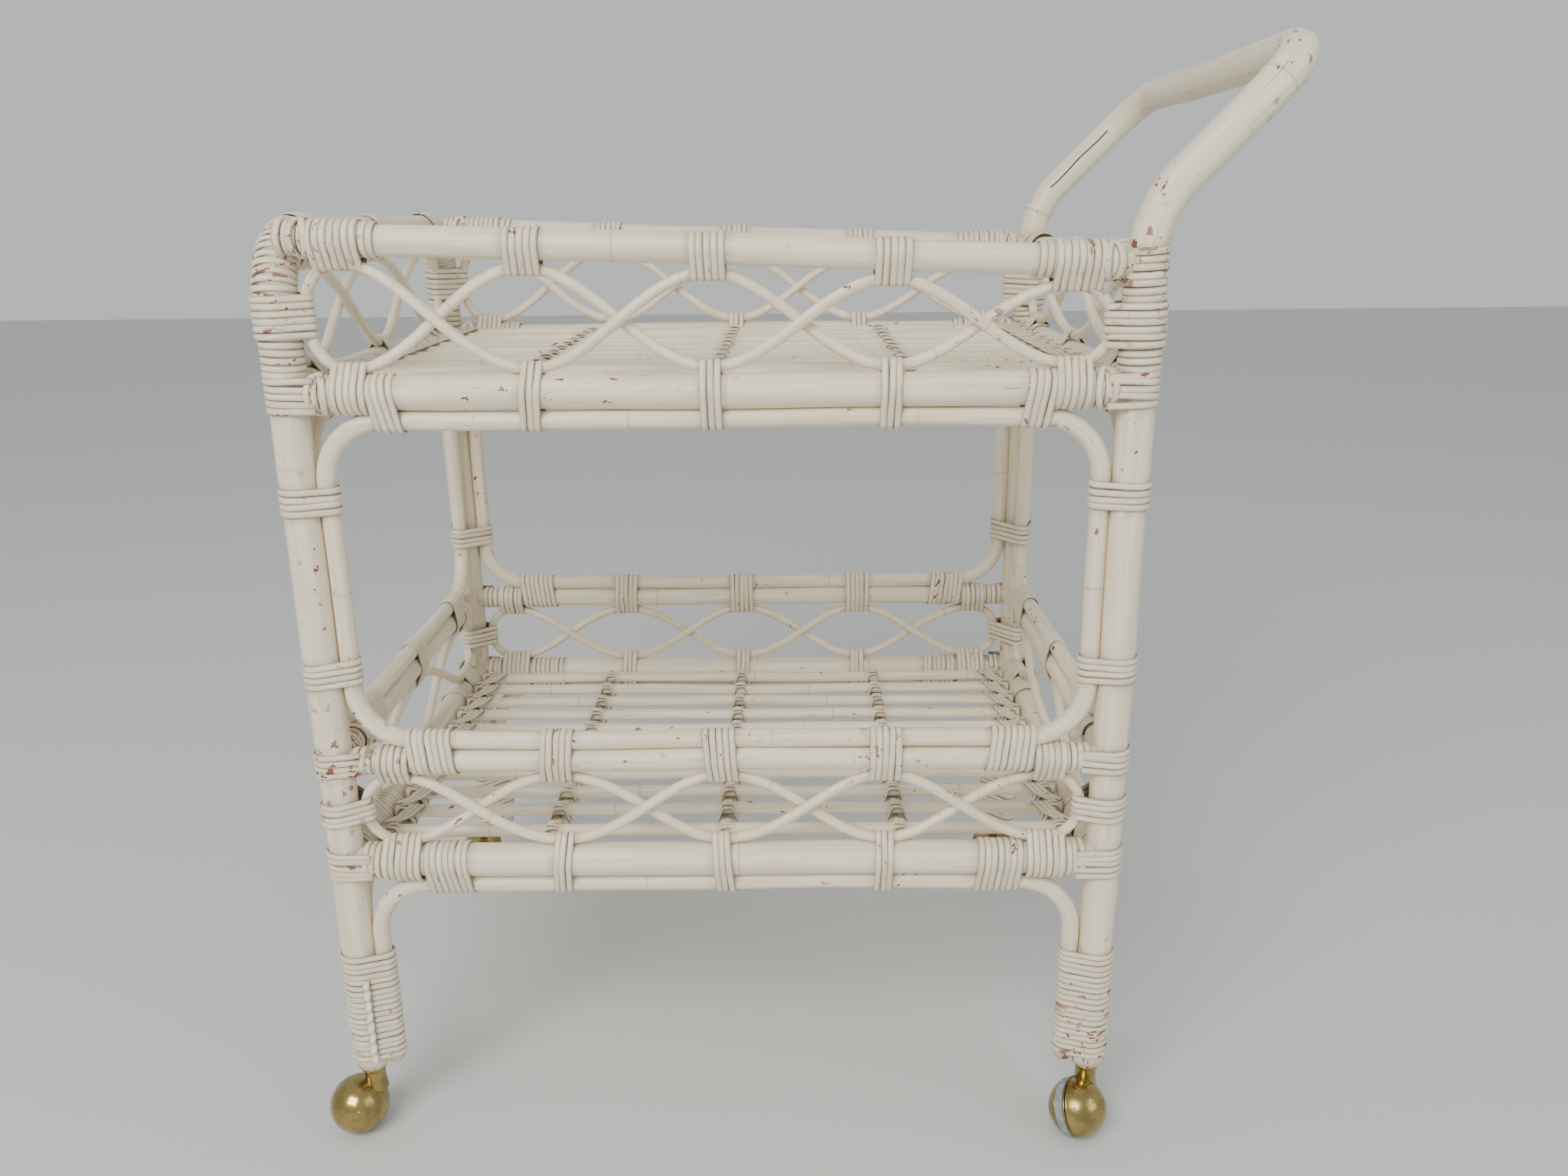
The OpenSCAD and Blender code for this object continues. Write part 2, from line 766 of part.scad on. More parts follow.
// Turns a part drawn about +Z to lie on the axle, with +Z towards the hood.
module on_axle() {
    translate([-trail, 0, ball_r]) rotate([90 - axle_lean, 0, 0]) children();
}

// Brass hood: half of the ball, with a neck up to the swivel and a boss for the axle.
module hood() {
    color("Goldenrod") difference() {
        union() {
            difference() {
                union() {
                    translate([-trail, 0, ball_r]) sphere(r = brass_r);
                    translate([0, 0, neck_low_z])
                        cylinder(h = neck_top_z - neck_low_z, r1 = neck_low_r, r2 = neck_top_r);
                }
                translate([-trail, 0, ball_r]) sphere(r = brass_r - skin_t);
                on_axle() translate([0, 0, hood_edge - 2 * ball_r])
                    cylinder(h = 2 * ball_r, r = ball_r + over);
            }
            on_axle() translate([0, 0, hood_edge + 3])
                cylinder(h = brass_r - skin_t / 2 - hood_edge - 3, r = boss_r);
        }
        on_axle() translate([0, 0, -over])
            cylinder(h = axle_in + over + 0.5, r = axle_r + pin_gap);
        translate([0, 0, seat_low_z]) cylinder(h = leg_z, r = stem_r + pin_gap);
    }
}

// Steel stem in the neck, and steel axle in the boss.
module pins() {
    color("Silver") {
        translate([0, 0, seat_low_z + pole_gap])
            cylinder(h = stem_top_z - seat_low_z - pole_gap, r = stem_r);
        on_axle() translate([0, 0, -axle_out])
            cylinder(h = axle_in + axle_out, r = axle_r);
    }
}

// Brass wheel: rim flange, tread seat and domed cap, turned in one piece.
module wheel() {
    cap_low = sqrt(pow(brass_r - skin_t, 2) - pow(hub_r, 2));
    color("DarkGoldenrod") on_axle() difference() {
        union() {
            translate([0, 0, tread_near]) cylinder(h = wheel_face - tread_near, r = rim_r);
            translate([0, 0, tread_far]) cylinder(h = tread_near - tread_far, r = tread_seat_r);
            intersection() {
                sphere(r = brass_r);
                translate([0, 0, -2 * ball_r])
                    cylinder(h = 2 * ball_r + tread_far, r = 2 * ball_r);
            }
        }
        difference() {
            translate([0, 0, tread_far]) cylinder(h = -tread_far - 2.2, r = tread_seat_r - 2);
            translate([0, 0, tread_far - over]) cylinder(h = -tread_far + over, r = hub_r);
        }
        difference() {
            intersection() {
                sphere(r = brass_r - skin_t);
                translate([0, 0, -2 * ball_r])
                    cylinder(h = 2 * ball_r + tread_far + 0.01, r = tread_seat_r - 2);
            }
            translate([0, 0, -cap_low - over]) cylinder(h = 2 * ball_r, r = hub_r);
        }
        translate([0, 0, -axle_out - 1]) cylinder(h = 2 * ball_r, r = axle_r + shaft_gap);
    }
}

// Rubber tread: a ring with a round outer face, on the wheel's seat.
module tread() {
    color("SlateGray") on_axle() difference() {
        intersection() {
            sphere(r = ball_r);
            translate([0, 0, tread_far + 0.05])
                cylinder(h = tread_near - tread_far - 0.1, r = 2 * ball_r);
        }
        translate([0, 0, tread_far - over])
            cylinder(h = tread_near - tread_far + 2 * over, r = tread_seat_r + pin_gap);
    }
}

module caster_hood_front_left() { caster_at(-1, -1, swivel_front_left) hood(); }
module caster_pins_front_left() { caster_at(-1, -1, swivel_front_left) pins(); }
module caster_wheel_front_left() { caster_at(-1, -1, swivel_front_left) wheel(); }
module caster_tread_front_left() { caster_at(-1, -1, swivel_front_left) tread(); }
module caster_hood_front_right() { caster_at(1, -1, swivel_front_right) hood(); }
module caster_pins_front_right() { caster_at(1, -1, swivel_front_right) pins(); }
module caster_wheel_front_right() { caster_at(1, -1, swivel_front_right) wheel(); }
module caster_tread_front_right() { caster_at(1, -1, swivel_front_right) tread(); }
module caster_hood_back_left() { caster_at(-1, 1, swivel_back_left) hood(); }
module caster_pins_back_left() { caster_at(-1, 1, swivel_back_left) pins(); }
module caster_wheel_back_left() { caster_at(-1, 1, swivel_back_left) wheel(); }
module caster_tread_back_left() { caster_at(-1, 1, swivel_back_left) tread(); }
module caster_hood_back_right() { caster_at(1, 1, swivel_back_right) hood(); }
module caster_pins_back_right() { caster_at(1, 1, swivel_back_right) pins(); }
module caster_wheel_back_right() { caster_at(1, 1, swivel_back_right) wheel(); }
module caster_tread_back_right() { caster_at(1, 1, swivel_back_right) tread(); }

left_end_pole();
handle_pole();
top_rail_front();
top_rail_back();
top_rail_right();
tray_rail_front();
tray_rail_back();
tray_rail_left();
tray_rail_right();
gallery_rail_front();
gallery_rail_back();
gallery_rail_left();
gallery_rail_right();
shelf_rail_front();
shelf_rail_back();
shelf_rail_left();
shelf_rail_right();
brace_loop_front();
brace_loop_back();
brace_loop_left();
brace_loop_right();
leg_brace_front();
leg_brace_back();
leg_brace_left();
leg_brace_right();
upper_wave_front();
upper_wave_back();
upper_wave_left();
upper_wave_right();
lower_wave_front();
lower_wave_back();
lower_wave_left();
lower_wave_right();
tray_slats();
tray_rods();
shelf_slats();
shelf_rods();
post_wraps();
rail_end_wraps();
pole_ties();
foot_bindings();
slat_bindings();
caster_sockets();
caster_hood_front_left();
caster_pins_front_left();
caster_wheel_front_left();
caster_tread_front_left();
caster_hood_front_right();
caster_pins_front_right();
caster_wheel_front_right();
caster_tread_front_right();
caster_hood_back_left();
caster_pins_back_left();
caster_wheel_back_left();
caster_tread_back_left();
caster_hood_back_right();
caster_pins_back_right();
caster_wheel_back_right();
caster_tread_back_right();
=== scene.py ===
import math
import random

import bpy
import numpy as np
from mathutils import Matrix, Vector, kdtree


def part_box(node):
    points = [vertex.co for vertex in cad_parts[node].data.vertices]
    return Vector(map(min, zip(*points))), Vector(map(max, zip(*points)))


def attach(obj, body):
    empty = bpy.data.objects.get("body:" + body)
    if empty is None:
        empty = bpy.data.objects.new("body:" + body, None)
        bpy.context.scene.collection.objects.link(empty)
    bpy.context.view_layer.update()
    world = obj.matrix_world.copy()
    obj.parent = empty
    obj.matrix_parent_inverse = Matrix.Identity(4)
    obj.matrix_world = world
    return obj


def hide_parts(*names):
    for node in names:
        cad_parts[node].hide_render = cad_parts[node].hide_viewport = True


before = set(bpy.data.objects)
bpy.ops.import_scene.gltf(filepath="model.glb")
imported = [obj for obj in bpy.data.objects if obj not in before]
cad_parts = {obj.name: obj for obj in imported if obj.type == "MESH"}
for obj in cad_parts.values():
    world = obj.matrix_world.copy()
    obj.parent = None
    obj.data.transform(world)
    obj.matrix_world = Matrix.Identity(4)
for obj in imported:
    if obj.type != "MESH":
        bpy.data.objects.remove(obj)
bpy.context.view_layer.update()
MM = 0.001

# ---- Left end pole ----
# One rattan pole, 28 mm thick, steamed and bent into an upside-down U. It makes both left
# posts and the rail across the left end, and is brushed with cream satin paint like the rest.


def box_of(node):
    """Low and high corner of a CAD node's box."""
    return [np.array(corner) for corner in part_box(node)]


low, high = box_of("left_end_pole")
post_r = (high[0] - low[0]) / 2
left_x = (high[0] + low[0]) / 2
half_y = high[1] - post_r
top_left_z = high[2] - post_r
leg_z = low[2]
corner_bend_r = 45 * MM


class Wire:
    """A shader socket that takes arithmetic and can start any other node."""

    def __init__(self, tree, socket):
        self.tree = tree
        self.socket = socket

    def node(self, kind, settings=None, inputs=None, out=0):
        made = self.tree.nodes.new("ShaderNode" + kind)
        for key, value in (settings or {}).items():
            if key == "stops":
                for place, shade in value:
                    stop = made.color_ramp.elements.new(place)
                    stop.color = (*shade, 1)
                made.color_ramp.elements.remove(made.color_ramp.elements[0])
                made.color_ramp.elements.remove(made.color_ramp.elements[-1])
            else:
                setattr(made, key, value)
        for key, value in (inputs or {}).items():
            if isinstance(value, Wire):
                self.tree.links.new(value.socket, made.inputs[key])
            else:
                made.inputs[key].default_value = value
        return Wire(self.tree, made.outputs[out])

    def math(self, operation, first, second=0.0):
        return self.node("Math", {"operation": operation}, {0: first, 1: second})

    def __add__(self, other):
        return self.math("ADD", self, other)

    def __sub__(self, other):
        return self.math("SUBTRACT", self, other)

    def __mul__(self, other):
        return self.math("MULTIPLY", self, other)

    def __rsub__(self, other):
        return self.math("SUBTRACT", other, self)

    __radd__ = __add__
    __rmul__ = __mul__

    def ramp(self, start, end):
        """0 up to start, 1 from end on, and smooth between them."""
        settings = {"interpolation_type": "SMOOTHSTEP"}
        return self.node("MapRange", settings, {"Value": self, "From Min": start, "From Max": end})

    def noise(self, where, scale, detail=3.0, roughness=0.55, offset=0.0):
        """Noise with its own scale along each direction, in features per metre."""
        at = self.node("Mapping", {}, {"Vector": where, "Scale": scale, "Location": (offset,) * 3})
        return self.node("TexNoise", {}, {"Vector": at, "Scale": 1.0, "Detail": detail,
                                          "Roughness": roughness}, "Fac")

    def blend(self, amount, first, second, kind="MIX"):
        """A colour between first and second."""
        first = first if isinstance(first, Wire) else (*first, 1)
        second = second if isinstance(second, Wire) else (*second, 1)
        return self.node("Mix", {"data_type": "RGBA", "blend_type": kind},
                         {0: amount, 6: first, 7: second}, 2)

    def to(self, shader, name):
        self.tree.links.new(self.socket, shader.inputs[name])


def new_finish(name):
    """A material, its shader, and a wire that starts its nodes."""
    made = bpy.data.materials.new(name)
    made.use_nodes = True
    shader = made.node_tree.nodes["Principled BSDF"]
    return made, shader, Wire(made.node_tree, shader.outputs[0])


def cream_paint(name, cream, worn_cream, chips, grime_and_shade_depth):
    """Brushed satin paint on rattan: streaks along the fibres, chips down to the red-brown
    skin, short dark checks, and grime with painted shade beside the cane and at the edges of its turns."""
    aged_cream, fibre_shadow, grime_and_shade_brown = (0.70, 0.60, 0.45), (0.46, 0.39, 0.30), (0.10, 0.075, 0.055)
    leaf_scar, check_brown = (0.30, 0.22, 0.15), (0.07, 0.045, 0.03)
    broken_edge, rattan_skin = (0.82, 0.78, 0.70), (0.24, 0.075, 0.035)
    made, shader, wire = new_finish(name)
    grain = wire.node("Attribute", {"attribute_name": "grain"}, out="Vector")
    groove = wire.node("Attribute", {"attribute_name": "groove"}, out="Fac")
    scar = wire.node("Attribute", {"attribute_name": "scar"}, out="Fac")
    wear = wire.node("Attribute", {"attribute_name": "wear"}, out="Fac")
    streaks = wire.noise(grain, (9, 260, 260), 4)
    fibres = wire.noise(grain, (45, 1500, 1500), 3, offset=3.1)
    patches = wire.noise(grain, (7, 22, 22), 3, offset=7.7)
    checks = wire.noise(grain, (34, 620, 620), 2, offset=11.3).ramp(0.715, 0.745)
    rare = wire.math("MAXIMUM", wire.noise(grain, (5, 14, 14), 1, offset=17.9).ramp(0.5, 0.62), wear)
    flaking = wire.noise(grain, (85, 120, 120), 3, 0.6, 23.7) + 0.06 * wear
    flakes = flaking.ramp(chips, chips + 0.012)
    flake_rim = flaking.ramp(chips - 0.03, chips)
    colour = wire.blend(streaks.ramp(0.32, 0.72), cream, worn_cream)
    colour = wire.blend(patches.ramp(0.5, 0.75) * 0.35, colour, aged_cream)
    colour = wire.blend(fibres.ramp(0.55, 0.8) * 0.3, colour, fibre_shadow)
    # Painted shade and grime together: darker at the edges of each cane turn, where the turns meet, and on
    # poles next to the cane.
    grime_and_shade_patches = wire.noise(grain, (60, 160, 160), 3, offset=31.0).ramp(0.2, 0.7)
    grime_and_shade_amount = groove * (0.45 + 0.55 * grime_and_shade_patches) * grime_and_shade_depth
    colour = wire.blend(grime_and_shade_amount, colour, grime_and_shade_brown)
    colour = wire.blend(scar * 0.42, colour, leaf_scar)
    colour = wire.blend(checks * rare * 0.8, colour, check_brown)
    colour = wire.blend(flake_rim * rare * 0.5, colour, broken_edge)
    colour = wire.blend(flakes * rare, colour, rattan_skin)
    colour.to(shader, "Base Color")
    (0.36 + 0.16 * fibres + 0.2 * grime_and_shade_amount + 0.2 * flakes * rare).to(shader, "Roughness")
    relief = streaks * 0.7 + fibres * 0.35 - checks * rare * 0.8 - flakes * rare * 1.2
    wire.node("Bump", {}, {"Strength": 0.55, "Distance": 0.0006, "Height": relief}).to(shader, "Normal")
    return made


pole_paint = cream_paint("pole_paint", (0.87, 0.775, 0.62), (0.75, 0.635, 0.465), 0.665, 0.8)


def add_piece(name, mesh, material, body, nodes):
    """Makes the object, attaches it to the body it rides on, and hides the CAD nodes it stands for."""
    mesh.shade_smooth()
    made = bpy.data.objects.new(name, mesh)
    bpy.context.scene.collection.objects.link(made)
    made.data.materials.append(material)
    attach(made, body)
    if nodes:
        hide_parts(*nodes)
    return made


class Strands:
    """Mesh of any number of poles or strips of cane, with the values their paint needs."""

    def __init__(self, seed):
        self.random = random.Random(seed)
        self.points, self.faces, self.count = [], [], 0
        self.grain, self.groove, self.scar = [], [], []

    def grid(self, points, grain, groove, scar, closed):
        """Adds rings of points, each joined to the next. A closed run also joins its last ring
        to its first, and an open one gets flat ends."""
        rings, sides = points.shape[:2]
        at = self.count + np.arange(rings * sides).reshape(rings, sides)
        following = np.roll(at, -1, axis=0) if closed else at[1:]
        here = at if closed else at[:-1]
        quads = [here, np.roll(here, -1, axis=1), np.roll(following, -1, axis=1), following]
        self.faces += np.stack(quads, axis=-1).reshape(-1, 4).tolist()
        if not closed:
            self.faces += [at[0][::-1].tolist(), at[-1].tolist()]
        self.points.append(points.reshape(-1, 3))
        self.grain.append(grain.reshape(-1, 3))
        self.groove.append(np.broadcast_to(groove, (rings, sides)).reshape(-1))
        self.scar.append(np.broadcast_to(scar, (rings, sides)).reshape(-1))
        self.count += rings * sides

    def piece(self, name, material, slot, *nodes):
        """Makes the strands into one piece of the cart's frame."""
        mesh = bpy.data.meshes.new(name)
        mesh.from_pydata(np.concatenate(self.points).tolist(), [], self.faces)
        for label, kind, values in (("grain", "FLOAT_VECTOR", self.grain), ("groove", "FLOAT", self.groove),
                                    ("scar", "FLOAT", self.scar)):
            layer = mesh.attributes.new(label, kind, "POINT")
            key = "vector" if kind == "FLOAT_VECTOR" else "value"
            layer.data.foreach_set(key, np.concatenate(values).astype(np.float32).reshape(-1))
        return add_piece(name, mesh, material, "frame", nodes)


def rounded(corners, radius, closed=False, step=3 * MM):
    """Points along straight runs between corners, with each corner bent to the radius."""
    corners = [np.array(c, float) for c in corners]
    count = len(corners)
    radii = radius if isinstance(radius, (list, tuple)) else [radius] * count
    points = []
    for i, corner in enumerate(corners):
        if not closed and i in (0, count - 1):
            points.append(corner)
            continue
        back = corners[i - 1] - corner
        ahead = corners[(i + 1) % count] - corner
        back /= np.linalg.norm(back)
        ahead /= np.linalg.norm(ahead)
        turn = math.pi - math.acos(np.clip(back @ ahead, -1, 1))
        reach = radii[i] * math.tan(turn / 2)
        middle = corner + (back + ahead) / np.linalg.norm(back + ahead) * radii[i] / math.cos(turn / 2)
        start = corner + back * reach - middle
        for angle in np.linspace(0, turn, max(4, int(turn / 0.06))):
            points.append(middle + start * math.cos(angle) - back * radii[i] * math.sin(angle))
    if closed:
        points.append(points[0])
    points = np.array(points)
    reach = np.concatenate([[0], np.cumsum(np.linalg.norm(np.diff(points, axis=0), axis=1))])
    places = np.linspace(0, reach[-1], max(3, int(reach[-1] / step)))
    spread = np.stack([np.interp(places, reach, points[:, i]) for i in range(3)], axis=1)
    return spread[:-1] if closed else spread


def directions(path, closed):
    """Unit tangents, and two unit vectors across the path that don't twist round it."""
    if closed:
        along = np.roll(path, -1, axis=0) - np.roll(path, 1, axis=0)
    else:
        along = np.gradient(path, axis=0)
    along /= np.linalg.norm(along, axis=1)[:, None]
    seed = np.array([0.0, 0.0, 1.0]) if abs(along[0][2]) < 0.8 else np.array([1.0, 0.0, 0.0])
    across = np.zeros_like(path)
    last = seed
    for i, tangent in enumerate(along):
        last = last - tangent * (last @ tangent)
        last = last / np.linalg.norm(last)
        across[i] = last
    return along, across, np.cross(along, across)


def pole(strands, path, radius, closed=False, sides=24, knot_gap=0.33, wander=0.5 * MM):
    """Adds a rattan pole: not quite straight, not quite round, with rings where leaves grew."""
    chance = strands.random
    gaps = np.linalg.norm(np.diff(path, axis=0), axis=1)
    reach = np.concatenate([[0], np.cumsum(gaps)])
    length = reach[-1]
    knots = []
    place = chance.uniform(0.15, 1.0) * knot_gap
    while place < length - 0.02:
        knots.append(place)
        place += knot_gap * chance.uniform(0.75, 1.3)
    ring_gap = 7 * MM
    near_knot = np.array([-6, -3, -1.4, -0.5, 0.3, 1.1, 2.2, 4, 7]) * MM
    places = np.concatenate([np.arange(0, length, ring_gap), [length]]
                            + [knot + near_knot for knot in knots])
    places = np.unique(np.clip(places, 0, length))
    places = places[np.concatenate([[True], np.diff(places) > 0.25 * MM])]
    line = np.stack([np.interp(places, reach, path[:, i]) for i in range(3)], axis=1)
    along, across, up = directions(line, closed)
    straight_end = 0.04
    from_end = np.minimum(places, length - places)
    fade = np.ones_like(places) if closed else np.clip(from_end / straight_end, 0, 1)
    long_bow, short_bow = 0.42, 0.19
    for side in (across, up):
        for wave_length in (long_bow, short_bow):
            turns = max(1, round(length / wave_length)) if closed else length / wave_length
            phase = chance.uniform(0, 2 * math.pi)
            bow = np.sin(2 * math.pi * turns * places / length + phase)
            line = line + side * (bow * fade * wander * wave_length / long_bow)[:, None]
    angle = 2 * math.pi * np.arange(sides) / sides
    first, second = chance.uniform(0, 6), chance.uniform(0, 6)
    flats = 1 + 0.012 * np.sin(3 * angle + first)[None, :] + 0.008 * np.sin(5 * angle + second)[None, :]
    flats = flats + 0.006 * np.sin(2 * angle[None, :] + 9 * places[:, None] + second)
    size = np.full_like(places, radius)
    scar = np.zeros_like(places)
    for knot in knots:
        size += 0.028 * radius * np.exp(-((places - knot) / (1.5 * MM)) ** 2)
        size += 0.012 * radius * np.exp(-((places - knot) / (9 * MM)) ** 2)
        scar = np.maximum(scar, np.exp(-((places - knot - 1.3 * MM) / (0.8 * MM)) ** 2))
    if not closed:
        size = size * np.where(from_end < 0.3 * MM, 0.965, 1)
    ring = (np.cos(angle)[None, :, None] * across[:, None] + np.sin(angle)[None, :, None] * up[:, None])
    points = line[:, None] + ring * (size[:, None] * flats)[:, :, None]
    offset = chance.uniform(0, 40)
    grain = np.stack([np.broadcast_to(places[:, None] + offset, flats.shape),
                      radius * np.cos(angle)[None, :] + 0 * places[:, None] + offset,
                      radius * np.sin(angle)[None, :] + 0 * places[:, None]], axis=-1)
    strands.grid(points, grain, 0.0, scar[:, None], closed)


poles = []


def pole_piece(node, seed, paths, radius, **options):
    """One CAD node's poles, as one piece named after it."""
    strands = Strands(seed)
    for path in paths:
        pole(strands, path, radius, **options)
    ending = "_rattan" if "pole" in node else "_pole"
    poles.append(strands.piece(node + ending, pole_paint, "painted_rattan", node))


end_hoop = [(left_x, -half_y, leg_z), (left_x, -half_y, top_left_z),
            (left_x, half_y, top_left_z), (left_x, half_y, leg_z)]
pole_piece("left_end_pole", 1, [rounded(end_hoop, corner_bend_r)], post_r, knot_gap=0.36)

# ---- Handle pole ----
# The second 28 mm pole makes both right posts. Above the tray it leans out to the right
# and is bent round into the grip, in one length.

low, high = box_of("handle_pole")
right_x = low[0] + post_r
grip_x = high[0] - post_r
grip_z = high[2] - post_r
arm_lean = math.radians(45)
arm_bend_r = 80 * MM
grip_bend_r = 50 * MM
arm_corner_z = grip_z - (grip_x - right_x) / math.tan(arm_lean)
middle_x = (left_x + right_x) / 2
half_x = (right_x - left_x) / 2

handle_corners = [(right_x, -half_y, leg_z), (right_x, -half_y, arm_corner_z), (grip_x, -half_y, grip_z),
                  (grip_x, half_y, grip_z), (right_x, half_y, arm_corner_z), (right_x, half_y, leg_z)]
handle_bends = [0, arm_bend_r, grip_bend_r, grip_bend_r, arm_bend_r, 0]
pole_piece("handle_pole", 2, [rounded(handle_corners, handle_bends)], post_r, knot_gap=0.37)

# ---- Rails ----
# Straight poles nailed between the posts: top rails that fall a little towards the handle,
# tray rails, gallery rails and shelf rails. Their ends are coped to the round of the posts.

coped = 8 * MM
SIDES = ("front", "back", "left", "right")


def long_box(node):
    """A CAD node's box, the axis it runs along (0 or 1), and half its thickness."""
    low, high = box_of(node)
    run = 0 if high[0] - low[0] > high[1] - low[1] else 1
    return low, high, run, (high[1 - run] - low[1 - run]) / 2


def rail_axis(node):
    """The two ends of a rail's centre line, and its radius."""
    low, high, run, radius = long_box(node)
    start, end = (low + high) / 2, (low + high) / 2
    start[run], end[run] = low[run], high[run]
    start[2], end[2] = high[2] - radius, low[2] + radius
    return start, end, radius


rails = {}
for seed, node in enumerate(sorted(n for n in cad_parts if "_rail_" in n)):
    start, end, radius = rail_axis(node)
    rails[node] = (start, end, radius)
    reach = (end - start) / np.linalg.norm(end - start) * coped
    pole_piece(node, 10 + seed, [rounded([start - reach, end + reach], 0)], radius)

tray_z = rails["tray_rail_front"][0][2]
gallery_z = rails["gallery_rail_front"][0][2]
shelf_z = rails["shelf_rail_front"][0][2]
top_right_z = rails["top_rail_right"][0][2]

# ---- Brace loops ----
# Thin poles, 15 mm, bent into round-cornered frames that fill each side between the tray
# rail and the gallery rail. Their ends meet behind a tie.

brace_bend_r = 47 * MM


def bent_pole(node, open_ends=False):
    """Four corners of a bent pole's centre line on one side of the cart, its lowest and
    highest corner, and its radius. Legs with open ends reach the bottom of the CAD box."""
    low, high, run, radius = long_box(node)
    low, high = low + radius, high - radius
    low[1 - run] = high[1 - run] = (low[1 - run] + high[1 - run]) / 2
    foot = low[2] - radius if open_ends else low[2]
    corners = []
    for along, z in ((low[run], foot), (low[run], high[2]), (high[run], high[2]), (high[run], foot)):
        corner = low.copy()
        corner[run], corner[2] = along, z
        corners.append(corner)
    return corners, low, high, radius


for seed, side in enumerate(SIDES):
    loop, low, high, loop_r = bent_pole("brace_loop_" + side)
    pole_piece("brace_loop_" + side, 40 + seed, [rounded(loop, brace_bend_r, closed=True)], loop_r,
               closed=True, sides=20, knot_gap=0.28)
    if side == "front":
        loop_low_z, loop_high_z = low[2], high[2]
        loop_inset = low[0] - left_x

# ---- Leg braces ----
# Four more bent poles under the shelf rails. Each runs down beside two posts to the feet.

for seed, side in enumerate(SIDES):
    hoop, low, high, brace_r = bent_pole("leg_brace_" + side, open_ends=True)
    pole_piece("leg_brace_" + side, 50 + seed, [rounded(hoop, brace_bend_r)], brace_r, sides=20,
               knot_gap=0.26)
    if side == "front":
        brace_high_z = high[2]
        brace_inset = low[0] - left_x

# ---- Wave galleries ----
# Two thin canes, 8.5 mm, on each side of both levels. They are bent into waves, cross over
# and under each other, and close in a round eye at each post.

wave_r = 8.5 * MM / 2
long_eye_end = 28 * MM
short_eye_end = 35 * MM
eye_steps = 22
steps_per_wave = 34
weave = wave_r + 0.2 * MM
top_fall = rails["top_rail_front"][0][2] - rails["top_rail_front"][1][2]
galleries = {}


def on_side(side, points):
    """Moves points drawn along X about the middle of a side to that side of the cart."""
    x, y, z = points[..., 0], points[..., 1], points[..., 2]
    if side in ("front", "back"):
        return np.stack([x + middle_x, y + (-half_y if side == "front" else half_y), z], axis=-1)
    return np.stack([-y + (left_x if side == "left" else right_x), x, z], axis=-1)


for seed, (level, side) in enumerate((level, side) for level in ("upper", "lower") for side in SIDES):
    node = f"{level}_wave_{side}"
    low, high = box_of(node)
    run = 0 if side in ("front", "back") else 1
    half = (high[run] - low[run]) / 2 - wave_r
    eye_end = long_eye_end if run == 0 else short_eye_end
    waves = 4 if run == 0 else 2
    crest = half - eye_end
    trough_z, crest_z = low[2] + wave_r, high[2] - wave_r
    fall = top_fall * 2 * half / (2 * half_x - 2 * post_r) if (level == "upper" and run == 0) else 0
    x = np.concatenate([-crest - eye_end * np.cos(np.linspace(0, math.pi / 2, eye_steps)[:-1]),
                        np.linspace(-crest, crest, waves * steps_per_wave),
                        crest + eye_end * np.cos(np.linspace(math.pi / 2, 0, eye_steps)[1:])])
    top = crest_z - fall * (x + half) / (2 * half)
    past = np.clip((abs(x) - crest) / eye_end, 0, 1)
    phase = math.pi / 2 * waves * (x + crest) / crest
    swing = np.where(past > 0, np.sqrt(1 - past ** 2), np.cos(phase))
    across = np.where(past > 0, 0, np.sin(phase) ** 2 * weave * np.where(x < 0, -1, 1))
    rise = swing * (top - trough_z) / 2
    mid = (trough_z + top) / 2
    upper_strand = np.stack([x, across, mid + rise], axis=1)
    lower_strand = np.stack([x, -across, mid - rise], axis=1)[::-1][1:-1]
    route = on_side(side, np.concatenate([upper_strand, lower_strand]))
    pole_piece(node, 60 + seed, [route], wave_r, closed=True, sides=14, knot_gap=0.23, wander=0.2 * MM)
    galleries[level, side] = (crest, waves, trough_z, crest_z, fall, half)

# ---- Slats ----
# Eleven round canes, 11 mm, laid along the cart on each level. They are tied down to the
# rods and left a little uneven at the ends.

slat_count = 11
# In millimetres, like the random draws that they bound
uneven_end = 1.5
slat_bow = 1.6


def slat_axes(node):
    """Centre line ends of the slats on one level, and their radius."""
    low, high = box_of(node)
    radius = (high[2] - low[2]) / 2
    z = (high[2] + low[2]) / 2
    ys = np.linspace(low[1] + radius, high[1] - radius, slat_count)
    return [((low[0], y, z), (high[0], y, z)) for y in ys], radius


slats = {}
for seed, level in enumerate(("tray", "shelf")):
    axes, slat_r = slat_axes(level + "_slats")
    slats[level] = axes
    chance = random.Random(70 + seed)
    paths = []
    for start, end in axes:
        trim = [chance.uniform(0, uneven_end) * MM for _ in range(2)]
        bow = chance.uniform(-slat_bow, slat_bow) * MM
        line = rounded([start, end], 0)
        part = np.linspace(0, 1, len(line))
        line[:, 1] += bow * np.sin(math.pi * part)
        line[:, 0] += trim[0] * (1 - part) - trim[1] * part
        paths.append(line)
    pole_piece(level + "_slats", 72 + seed, paths, slat_r, sides=14, knot_gap=0.24, wander=0.6 * MM)

# ---- Rods ----
# Under the slats, pairs of 8 mm rods run from front to back and carry the weight.

